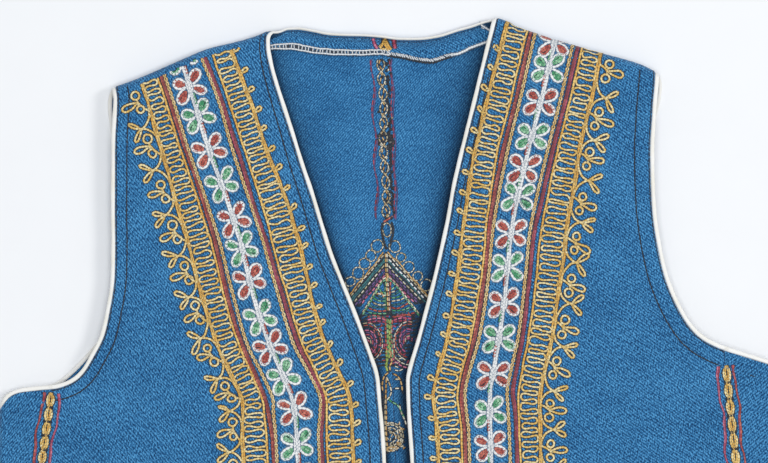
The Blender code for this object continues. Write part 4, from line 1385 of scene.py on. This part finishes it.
class InsideBack:
    """The reverse of the back's embroidery, which shows inside the open neck.

    Its paths are (x, h): x is to the wearer's left of the centre line.
    """

    def __init__(self, halves, paints):
        place = across_halves(halves, Dressed.in_back)
        self.threads = {
            name: Stitches("inside_" + name, place, paint) for name, paint in paints.items()
        }
        self.sew_seam()
        self.sew_arch()
        self.sew_scrolls()
        self.sew_rosette()

    def sew(self, colour, points, width=0.85, link=1.9, jitter=0.2, height=0.36):
        self.threads[colour].chain(curve(points, 8), width * INSIDE_THREAD, height, link, jitter)

    def broken(self, colour, points, width=0.85, stitch=3.1, gap=0.15, under="navy"):
        """A row of short stitches, as the reverse of the work shows it, over a darker chain: a navy
        one is painted shade in the gaps and at the sides, another colour is a second strand.
        """
        path = curve(points, 8)
        if lengths(path)[-1] < 5:
            return
        self.threads[under].chain(path, width * 0.62, 0.22, 2.7, 0.12)
        self.threads[colour].dashes(path, stitch, gap, width * 1.35, 0.46)

    def scatter(self, count, middle, spread, colours, long=2.2, width=0.85):
        """Loose single stitches round a place."""
        starts = RNG.normal(0, 1, (count, 2)).clip(-1.6, 1.6) * spread + middle
        turn = RNG.uniform(0, math.pi, count)
        ends = starts + long * pairs(np.cos(turn), np.sin(turn))
        for index, colour in enumerate(colours):
            some = slice(index, None, len(colours))
            self.threads[colour].add(starts[some], ends[some], width, 0.4, True)

    def ring(self, colour, spot, size, tall=1.0):
        path = shaken(ring(size, RNG.uniform(0, 6)) * [1, tall] + spot, 0.16)
        path[-1] = path[0]
        self.broken(colour, path, width=0.72, stitch=2.4, gap=0.1)

    def sew_seam(self):
        """The chain of the centre back, above the arch and below the rosette."""
        h, low = (np.arange(*span, -0.5) for span in CHAIN_SPANS)
        line = Line(pairs(INSIDE_CENTRE + 0.6 * np.sin(h / 9), h))
        s = np.arange(0, line.along[-1], 0.5)
        for strand in ovals(line, s, 5.4, 9.9, 0.4):
            self.broken("faded", shaken(strand[::3], 0.25), width=0.85, stitch=2.6, gap=0.15)
        self.broken("dull", line.at(s, 1.1 * np.sin(s / 1.9))[::3], width=0.75, gap=1.2)
        lower = Line(pairs(np.full_like(low, INSIDE_CENTRE), low))
        s = np.arange(0, lower.along[-1], 0.5)
        for strand in ovals(lower, s, 5.8, 9.9):
            self.sew("faded", strand[::3], link=1.9)
        for span in (h, low):
            for colour, x, size in (
                ("crimson", -7.2, 1.1),
                ("violet", -6.6, 1.2),
                ("crimson", 5.2, 0.6),
                ("violet", 6.3, 0.7),
            ):
                path = pairs(x + size * np.sin(span / 5.3 + x), span)[::4]
                self.broken(colour, path, width=0.62, stitch=3.8, gap=0.7, under="violet")
        # Short navy stitches to the wearer's left of the chain are painted shadow beside the seam.
        for top in np.arange(498.0, 392.0, -2.2):
            x = 3.4 + RNG.normal(0, 0.9, 2)
            ends = np.array([[x[0], top], [x[1], top - 2.6]])
            self.threads["navy"].add(ends[:1], ends[1:], 1.5, 0.45, True)
        self.scatter(46, (0.2, 445.0), (2.6, 34.0), ("navy", "navy", "faded"), 2.0, 1.2)
        knot = [(-5.2, 445.8), (-2.5, 447.4), (2.1, 446.7), (5.3, 442.4), (3.4, 438.9)]
        self.sew("navy", knot + [(0.1, 437.3)], width=1.5, jitter=0.5, height=0.6)
        knot = [(-5.4, 444.0), (-4.0, 440.5), (-0.5, 442.5), (3.6, 444.6)]
        self.sew("navy", knot, width=1.4, jitter=0.5)
        self.sew("rust", [(-2.4, 388.6), (0.5, 390.2), (3.6, 392.2)], width=1.1)
        self.ring("faded", (-0.7, 383.0), 5.8, 1.7)
        for x in ((-3.4, -4.4, -3.0, -1.2), (2.4, 3.4, 1.8, 0.2)):
            self.sew("navy", list(zip(x, (388.0, 382.0, 375.0, 370.0))), width=1.0)

    def sew_arch(self):
        """The pointed arch: rings outside it, its rows, and the leaves that fill it."""
        right = [(-7.6, 372.6), (-12.0, 366.1), (-16.3, 361.0), (-21.0, 354.6), (-26.6, 349.2)]
        left = [(4.3, 371.8), (8.2, 364.4), (13.1, 357.6), (18.9, 351.4), (24.6, 345.2)]
        for spots, size in ((right + [(-31.5, 343.5)], 7.5), (left, 7.3)):
            for spot in spots:
                self.ring("faded", spot, RNG.normal(size, 0.4), RNG.normal(1, 0.06))
        for way, side in ((-1, "right"), (1, "left")):
            along = np.array([way * 0.655, -0.755])
            inward = np.array([-way * 0.755, -0.655])
            for off, colour in zip(ARCH_ROWS[side], ARCH_ROWS[side + "_colour"]):
                start = np.array([-1.8 + 0.9 * way, 368.4]) + inward * off
                start = start + along * max(0.0, off * 1.1 + 0.4)
                reach = 44 - off * 1.6
                points = start + along * np.linspace(0, reach, 9)[:, None]
                points[1:-1] += RNG.normal(0, 0.25, (7, 2))
                if colour in ("white", "faded", "violet", "pink"):
                    self.broken(colour, points, width=0.8, stitch=3.2, gap=0.4)
                else:
                    self.sew(colour, points, width=0.8, link=2.2)
        left = [(-1.7, 351.5), (-4.9, 349.9), (-9.1, 343.3), (-13.5, 336.3), (-20.5, 325.7)]
        right = [(-1.2, 351.6), (2.6, 348.9), (7.0, 342.8), (13.3, 334.2), (19.6, 325.6)]
        for points in (left, right):
            self.broken("faded", points)
            self.broken("green", np.array(points) - [0, 1.5], width=0.8)
        self.sew("dull", [(-9.8, 342.4), (-8.0, 339.6), (-5.6, 341.0), (-4.0, 337.6)])
        colours = "rust green faded teal green faded teal rust green teal".split()
        for index, h in enumerate(np.arange(344.6, 326.0, -2.05)):
            reach = 1.0 + (350.0 - h) * 0.72
            for way in (-1, 1):
                x = INSIDE_CENTRE + way * np.array([1.2, 0.4 * reach, 0.75 * reach, reach])
                rise = h + np.array([-1.2, -1.4, -0.4, 1.4]) + RNG.normal(0, 0.35, 4)
                colour = colours[(index + (way > 0)) % len(colours)]
                self.broken(colour, pairs(x, rise), stitch=3.0, gap=0.2)
        for x in (-2.2, -1.2):
            points = [(x, 368.0), (x, 352.0), (x + 0.4, 338.0), (x + 0.7, 326.0)]
            self.broken("dull" if x < -2 else "faded", points, width=0.9)
        for x, colour in ((0.2, "rust"), (-3.2, "green"), (-0.4, "navy"), (-3.0, "navy")):
            points = [(x + RNG.normal(0, 0.5), h) for h in (349.0, 343.0, 338.0, 333.0, 327.0)]
            self.broken(colour, points, width=0.9)
        self.sew("dull", [(-1.8, 354.0), (-0.6, 352.4), (-1.6, 350.6)], width=1.5, height=0.6)

    def sew_scrolls(self):
        """Two round scrolls below the arch, with the stalks between them."""
        # Flat navy rows under the scrolls: partly dark thread, partly painted shade.
        for h in np.arange(326.0, 290.0, -2.6):
            reach = np.interp(h, (290, 326), (9.0, 22.0))
            x = np.linspace(-reach - 1, reach - 1, 8)
            ground_and_shade = pairs(x, h + RNG.normal(0, 0.5, 8))
            self.sew("navy", ground_and_shade, width=1.0, height=0.14, link=3.0)
        for way in (-1, 1):
            for h, colour in ((324.6, "rust"), (322.8, "pink"), (321.2, "crimson")):
                x = INSIDE_CENTRE + way * np.array([2.0, 6.0, 11.0, 17.5])
                rise = h + np.array([-0.6, 0.6, 0.8, -0.9]) + RNG.normal(0, 0.3, 4)
                self.broken(colour, pairs(x, rise), width=0.9)
        for way, spot in ((1, (12.0, 308.2)), (-1, (-16.4, 308.2))):
            for index, colour in enumerate(SCROLL):
                reach = 10.4 - 1.25 * index
                path = arc(reach, 1.25, 72, 268 - 7 * index, 14) * [way, 1]
                path = shaken(path, 0.2) + spot
                self.broken(colour, path, width=0.66, stitch=3.6)
        loose = "crimson rust navy navy violet pink".split()
        self.scatter(110, (-1.0, 309.0), (12.0, 10.0), loose, 2.8, 0.9)
        stalks = "rust green lime lime green rust".split()
        for x, colour in zip((-3.9, -2.9, -2.0, -1.1, -0.2, 0.6), stalks):
            points = [(x + 0.5, 324.0), (x, 312.0), (x + 0.4, 301.0), (x + 0.2, 296.0)]
            points = shaken(np.array(points), 0.4)
            self.broken(colour, points, width=1.0, stitch=RNG.uniform(2.6, 3.6))
        for x in (-3.4, -2.4, -1.4):
            points = [(x + RNG.normal(0, 1.2), h) for h in np.arange(303.0, 286.0, -2.2)]
            self.broken("lime" if x < -2 else "dull", points, width=1.0)
        for reach, colour in ((13.6, "faded"), (15.2, "pink")):
            self.broken(colour, arc(reach, 1.25, 205, 290, 8) + (12.0, 309.0), width=0.75)
        for h in np.arange(297.0, 287.0, -2.6):
            points = [(1.0, h), (3.4, h - 1.2), (7.4, h - 0.4 + RNG.normal(0, 0.7))]
            self.broken("faded", points, width=0.7)

    def sew_rosette(self):
        """The stems below the scrolls and the small rosette on them."""
        lines = (
            ("dull", (-2.2, 287.6), (-5.4, 285.4), (-6.9, 281.0), (-7.2, 276.2), (-5.4, 272.2)),
            ("dull", (0.0, 286.6), (3.4, 284.8), (5.6, 280.6), (6.4, 273.0)),
            ("faded", (-4.4, 285.0), (-2.0, 279.0), (-1.2, 273.0), (-4.6, 268.6)),
            ("dull", (-4.2, 284.0), (-5.0, 272.0), (-5.0, 260.0), (-5.4, 246.0), (-4.6, 233.0)),
            ("faded", (-5.2, 270.0), (-5.9, 258.0), (-6.2, 246.0), (-5.6, 233.0)),
            ("navy", (-6.6, 272.0), (-7.0, 258.0), (-7.2, 246.0), (-6.8, 233.0)),
            ("green", (-3.6, 270.0), (-1.7, 267.7), (2.8, 265.3), (6.0, 258.9), (7.6, 254.6)),
            ("faded", (4.0, 265.6), (5.0, 260.0), (7.0, 256.0), (8.6, 250.0)),
            ("faded", (1.0, 282.6), (3.0, 283.0), (6.4, 282.2)),
            ("faded", (0.6, 276.4), (3.0, 276.8), (5.9, 276.0)),
        )
        for colour, *points in lines:
            self.broken(colour, points, width=0.9, stitch=3.4)
        for reach in (8.6, 7.2, 5.6, 3.6):
            path = arc(reach, 1.12, 118, -118, 14) + (-2.6, 244.0)
            self.broken("faded", shaken(path, 0.2), width=0.8)
        loose = "navy faded navy faded dull".split()
        self.scatter(60, (0.6, 243.0), (3.2, 5.5), loose, 2.6, 0.9)
        for reach in (7.6, 6.2):
            path = arc(reach, 1.15, -20, -125, 8) + (-2.6, 243.6)
            self.broken("dull", path, width=1.1, gap=0.5)

    def make(self):
        return [thread.make() for thread in self.threads.values() if thread.starts]


def seen_on_facing(half, a, seen, lift):
    """A place on the strip turned in along the neck, by the height where it is seen from above.

    Past the strip's upper edge it goes on over the raw edges towards the piping.
    """
    axis, radius, turn = half.rise(a)
    depth = FACING_DEPTHS[1]
    inner = radius - depth
    share = np.maximum(seen - axis, 0) / inner
    over = np.maximum(share - np.sin(turn), 0) * inner / np.sin(turn)
    lean = np.arcsin(np.minimum(share, np.sin(turn)))
    return half.back(a, np.minimum(seen, axis) + lean * radius, depth - over + lift)


def sew_facing(half, paints):
    """The overlocked lower edge of the strip turned in along the neck.

    It is a ladder of stitches, and on the wearer's left it soon turns into a rope.
    """
    side = half.side
    depth = FACING_DEPTHS[1]

    def on_facing(a, h, lift):
        return half.back(a, h, depth + lift)

    white = Stitches("overlock_" + side, on_facing, paints["white"], "wool_inside")
    under = Stitches("overlock_shade_" + side, on_facing, paints["navy"], "wool_inside")
    a = np.linspace(0.0, {"right": 75.5, "left": half.neck_point - 1.5}[side], 120)
    edge = Line(pairs(a, read(FACING_EDGE, side, a)))
    long = edge.along[-1]
    ladder = {"right": long, "left": 5.0}[side]  # how far the ladder goes
    s = np.arange(0.0, ladder, 0.4)

    def tall(s):
        return np.interp(s, [0, 20, 62, long], [2.6, 2.8, 3.6, 2.4])

    # The navy chains of the overlock_shade piece are painted shade: in the ladder's holes, between
    # the rope's strands and along the edge below the rope and the thin row.
    under.chain(edge.at(s, -0.45 - tall(s) / 2), width=1.8, height=0.12, link=2.4)
    for share in (0.0, 1.0):
        rail = edge.at(s, -0.35 - share * tall(s) + 0.1 * np.sin(s / 1.7 + share))
        white.chain(rail, width=0.62, height=0.5, link=1.8, jitter=0.1)
    marks = np.arange(0.6, ladder - 0.4, 2.45)
    marks = marks + RNG.normal(0, 0.22, len(marks))
    lean = marks + RNG.normal(0.25, 0.3, len(marks))
    white.add(edge.at(marks, -0.3), edge.at(lean, -0.4 - tall(marks)), 0.72, 0.42, True)
    if side == "right":
        return [white.make(), under.make()]
    rope = 49.0  # where the rope ends and a thin row goes on
    under.chain(edge.at(np.arange(ladder, rope, 0.4), -1.0), width=1.55, height=0.1, link=2.0)
    rest = np.arange(ladder, long - 1, 0.5)
    under.chain(edge.at(rest, 0.1), width=0.6, height=0.08, link=2.4)
    for gap, lift, back in ((1.55, 0.5, 2.3), (1.7, 0.62, 1.9)):
        marks = np.arange(ladder - 1.2, rope - 1, gap)
        marks = marks + RNG.normal(0, 0.2, len(marks))
        high = edge.at(marks, -2.3 + RNG.normal(0, 0.2, len(marks)))
        low = edge.at(marks + back, -0.1 + RNG.normal(0, 0.12, len(marks)))
        white.add(high, low, 0.74, lift, True)
    s = np.arange(rope - 2, long - 1, 0.5)
    thin = edge.at(s, -0.55 + 0.25 * np.sin(s / 2.6))
    white.chain(thin, width=1.0, height=0.5, link=1.7, jitter=0.14)
    seen = functools.partial(seen_on_facing, half)
    cut = Stitches("slant_thread", seen, paints["white"], "wool_inside")
    slant = curve([(65.4, 520.2), (68.6, 517.5), (72.6, 514.6)], 8)
    cut.chain(slant, width=0.8, link=1.8, jitter=0.06)
    cut.chain(curve([(67.0, 517.0), (69.0, 516.2)], 8), width=0.55, link=1.4, jitter=0.05)
    return [white.make(), under.make(), cut.make()]


def sew_neck_mark(halves, paints):
    """The ends of the centre back embroidery, turned in with the neck strip."""
    place = across_halves(halves, seen_on_facing)
    pieces = {}
    for name, colour, width, link, height, *points in NECK_MARK:
        if name not in pieces:
            pieces[name] = Stitches("neck_mark_" + name, place, paints[colour], "wool_inside")
        pieces[name].chain(curve(points, 8), width, height, link)
    return [piece.make() for piece in pieces.values()]


class Dressed(Half):
    """A half with the small forms of its cloth: topstitched grooves and slight unevenness."""

    def __init__(self, side):
        super().__init__(side)
        self.front_lines = stepped(self.front_outline(), self.step_at)
        self.back_lines = stepped(self.back_outline(), self.step_at)
        self.front_line, self.back_line = closed(self.front_lines), closed(self.back_lines)
        self.topstitch = self.topstitch_lines()

    def step_at(self, points):
        """How far apart an outline's points are: closer where the cloth rolls."""
        a, h = points.T
        axis, radius = self.side_roll(h)
        past = (a - axis) / radius
        rolls = (past > -0.4) & (past < math.pi + 0.4) | (h > self.top_roll(a)[0] - 2)
        return np.where(rolls, ROLL_STEP, EDGE_STEP)

    def topstitch_lines(self):
        """The sewn lines of a front: beside its front edge and beside its armhole."""
        from_edge, from_arm = TOPSTITCH[self.side]
        h = np.arange(8.0, 519.0, 3.0)
        edge = pairs(self.front_edge(h), h)
        fade = read(TOPSTITCH_SHARE, "share", h)
        beside = edge - outward(edge, INSIDE_FRONT) * (from_edge * fade)[:, None]
        arm = self.armhole()
        arm = arm[arm[:, 0] < self.side_roll(arm[:, 1])[0] - 1]
        around = arm - outward(arm, INSIDE_ARM) * (from_arm - ARM_PIPING["width"])
        return [spaced(smoothed(line), 1.5) for line in (beside, around)]

    def relief(self, a, h):
        """How far the front's upper face dips, in its grooves and slight unevenness."""
        points = pairs(a, h)
        off = np.min([distance_to(points, line) for line in self.topstitch], axis=0)
        groove = GROOVE["depth"] * np.exp(-((off / GROOVE["width"]) ** 2))
        return groove + uneven(a, h, self.sign)

    def on_front(self, a, h, depth):
        """A place in the front's wall, with its grooves and unevenness."""
        return self.front(a, h, depth + self.relief(a, h))

    def on_back(self, a, h, depth):
        """The back's strip that comes round the side fold has the front's unevenness."""
        axis, radius = self.side_roll(h)
        forward = np.maximum(a - axis - math.pi * radius, 0)
        share = np.clip(forward / 6, 0, 1)
        return self.back(a, h, depth + share * self.relief(axis - forward, h))

    def over_front(self, a, h, lift):
        """A place this far above the front."""
        return self.on_front(a, h, -lift)

    def in_back(self, a, h, lift):
        """On the inside of the back, which the open front shows."""
        return self.back(a, h, WALL + lift)

    def front_points(self):
        """The points of the front's mesh inside its outline."""
        line = self.front_line
        grid = lattice(line.min(axis=0), line.max(axis=0), GRID)
        grid = grid[grid[:, 1] < self.top_roll(grid[:, 0])[0] - GRID / 2]
        off = np.min([distance_to(grid, sewn) for sewn in self.topstitch], axis=0)
        grid = grid[off > 2.8]
        a = np.arange(self.neck_point, line[:, 0].max(), 5.0)
        over = roll_rows(a, *self.top_roll(a), np.radians(range(0, 121, 12)))
        rows = [
            sewn + outward(sewn, INSIDE_FRONT) * by
            for sewn in self.topstitch
            for by in TOPSTITCH_ROWS
        ]
        return np.vstack([grid, over, *rows])

    def back_points(self):
        """The points of the back's mesh inside its outline."""
        line = self.back_line
        grid = lattice(line.min(axis=0), line.max(axis=0), GRID + 1)
        axis, radius = self.side_roll(grid[:, 1])
        beyond = grid[:, 0] - axis
        flat = (beyond < -2) & (grid[:, 1] < self.rise(grid[:, 0])[0] - 2)
        grid = grid[flat | (beyond > math.pi * radius + 2)]
        a = np.arange(3.0, self.armhole()[-1, 0], 5.0)
        axis, radius, turn = self.rise(a)
        top = roll_rows(a, axis, turn * radius, (0, 0.15, 0.3, 0.45, 0.6, 0.75, 0.9))
        h = np.arange(4.0, self.armhole()[0, 1] + 6, 6.0)
        fold = roll_rows(h, *self.side_roll(h), np.radians(range(0, 181, 12)))[:, ::-1]
        h = np.arange(4.0, 512.0, 4.0)
        edge = self.front_edge(h)
        beside = np.vstack([pairs(edge - far, h) for far in BESIDE_EDGE])
        beside = beside[(beside[:, 0] > 1.5) & (beside[:, 1] < self.rise(beside[:, 0])[0] - 2)]
        return np.vstack([grid, beside, top, fold])


def shade_beside_front(made, half):
    """Marks how far the raised edge of the open front shades the cloth behind it.

    The material reads the mark: the studio's even light alone leaves the back too light there.
    """
    data = made.data.uv_layers["cloth"].data
    at = np.empty(len(data) * 2, np.float32)
    data.foreach_get("uv", at)
    a, h = at.reshape(-1, 2).T
    beside = np.abs(half.front_edge(h) - a)
    reach = UNDER_EDGE[half.side]
    close = np.interp(h, *UNDER_EDGE_DEPTH) * np.exp(-((beside / reach) ** 2)) * 0.7
    wide = 0.42 * np.exp(-((beside / reach / np.interp(h, *UNDER_EDGE_SPREAD)) ** 2))
    mark = made.data.attributes.new("shaded", "FLOAT", "CORNER")
    mark.data.foreach_set("value", np.clip(close + wide, 0, 1).astype(np.float32))


def smoothed(line, times=4):
    """The line with its small corners taken off."""
    for _ in range(times):
        line = np.vstack([line[:1], (line[:-2] + 2 * line[1:-1] + line[2:]) / 4, line[-1:]])
    return line


def uneven(a, h, seed):
    """Slight rises and dips of cloth that has been handled, under half a millimetre."""
    waves = ((0.021, 0.012, 0.3), (-0.015, 0.028, 1.9), (0.034, 0.024, 4.1), (0.009, -0.041, 2.6))
    return 0.11 * sum(np.sin(2 * math.pi * (p * a + q * h) + r + seed) for p, q, r in waves)


def roll_rows(along, axis, radius, turns):
    """Rows of pattern points (along, distance), one for each turn round a roll."""
    return np.vstack([pairs(along, axis + turn * radius) for turn in turns])


def lamp(name, spot, size, watts, colour):
    """A round soft light."""
    light = bpy.data.lights.new(name, "AREA")
    light.shape, light.size, light.energy, light.color = "DISK", size, watts, colour
    made = bpy.data.objects.new(name, light)
    made.location = spot
    made.rotation_euler = (Vector(LAMPS_AIM) - Vector(spot)).to_track_quat("-Z", "Y").to_euler()
    bpy.context.scene.collection.objects.link(made)


def studio():
    """The camera straight over the vest, a pale floor and soft light from one side and from above.
    """
    scene = bpy.context.scene
    camera = bpy.data.cameras.new("camera")
    camera.sensor_width, camera.lens = 36, CAMERA["lens"]
    camera.clip_start, camera.clip_end = 0.05, 50
    made = bpy.data.objects.new("camera", camera)
    made.location = CAMERA["spot"]
    made.rotation_euler = (0, 0, math.radians(CAMERA["turn"]))
    scene.collection.objects.link(made)
    scene.camera = made
    scene.view_settings.view_transform = "Standard"
    world = bpy.data.worlds.new("studio")
    world.use_nodes = True
    sky = world.node_tree.nodes["Background"].inputs
    sky["Color"].default_value, sky["Strength"].default_value = (*SKY, 1), SKY_STRENGTH
    scene.world = world
    for light in LAMPS:
        lamp(*light)
    spot = (0, 0, -0.0004)
    bpy.ops.mesh.primitive_grid_add(x_subdivisions=2, y_subdivisions=2, size=6, location=spot)
    floor = bpy.context.object
    floor.name = "floor"
    paint = Paint("pale_floor")
    speck = paint.noise(paint.node("TexCoord", out=3), 30.0, 2.0)
    colour = paint.mix(speck, (0.90, 0.91, 0.93), (0.92, 0.93, 0.95))
    paint.feed(paint.shader.inputs["Base Color"], colour)
    paint.set(Roughness=0.95, Specular_IOR_Level=0.1)
    floor.data.materials.append(paint.material)


studio()
outside, inside = (
    {side: wool(f"wool_{face}_{side}", TWILL[face][side], **TWILL[face]["rib"]) for side in SIDES}
    for face in ("front", "inside")
)
ivory = strip_cloth("ivory_strip")
paints = {name: thread(name + "_thread", *colours) for name, colours in THREADS.items()}
halves = {side: Dressed(side) for side in SIDES}
edges = {}
for side, half in halves.items():
    front, back = half.front_lines, half.back_lines
    walls = (outside[side], inside[side])
    line, points = half.front_line, half.front_points()
    made = shell("front_" + side, line, points, half.on_front, (0, WALL), walls)
    worked = FrontEmbroidery(half, {name: paints[name] for name in FRONT_COLOURS}).make()
    worked += sew_side_seam(half, paints)
    worked + [sew_topstitch(half, paints)]
    line, points = half.back_line, half.back_points()
    made = shell("back_" + side, line, points, half.on_back, (0, WALL), walls)
    shade_beside_front(made, half)
    line = closed(stepped(half.facing_outline(), lambda points: np.full(len(points), ROLL_STEP)))
    a = np.arange(2.0, half.neck_point, 4.0)
    axis, radius, turn = half.rise(a)
    rows = roll_rows(a, axis, turn * radius, np.arange(-0.9, 1, 0.12))
    walls = (inside[side], outside[side])
    made = shell("neck_facing_" + side, line, rows, half.back, FACING_DEPTHS, walls)
    sew_facing(half, paints)
    up = piping_run(front["armhole"], INSIDE_ARM, half.on_front, ARM_PIPING)
    down = piping_run(back["armhole"][::-1], INSIDE_ARM, half.back, ARM_PIPING)
    points, across = (np.vstack([before, after[:-1]]) for before, after in zip(up, down))
    piping_strip("armhole_piping_" + side, points, across, ARM_PIPING, True, ivory)
    up = piping_run(front["edge"][::-1], INSIDE_FRONT, half.on_front, NECK_PIPING)
    along = piping_run(back["neck"], INSIDE_BACK, half.back, NECK_PIPING)
    edges[side] = [np.vstack([before, after[1:]]) for before, after in zip(up, along)]
InsideBack(halves, {name: paints[name] for name in INSIDE_COLOURS}).make()
sew_neck_mark(halves, paints)
points, across = (np.vstack([up, down[::-1]]) for up, down in zip(edges["right"], edges["left"]))
piping_strip("edge_piping", points, across, NECK_PIPING, False, ivory)
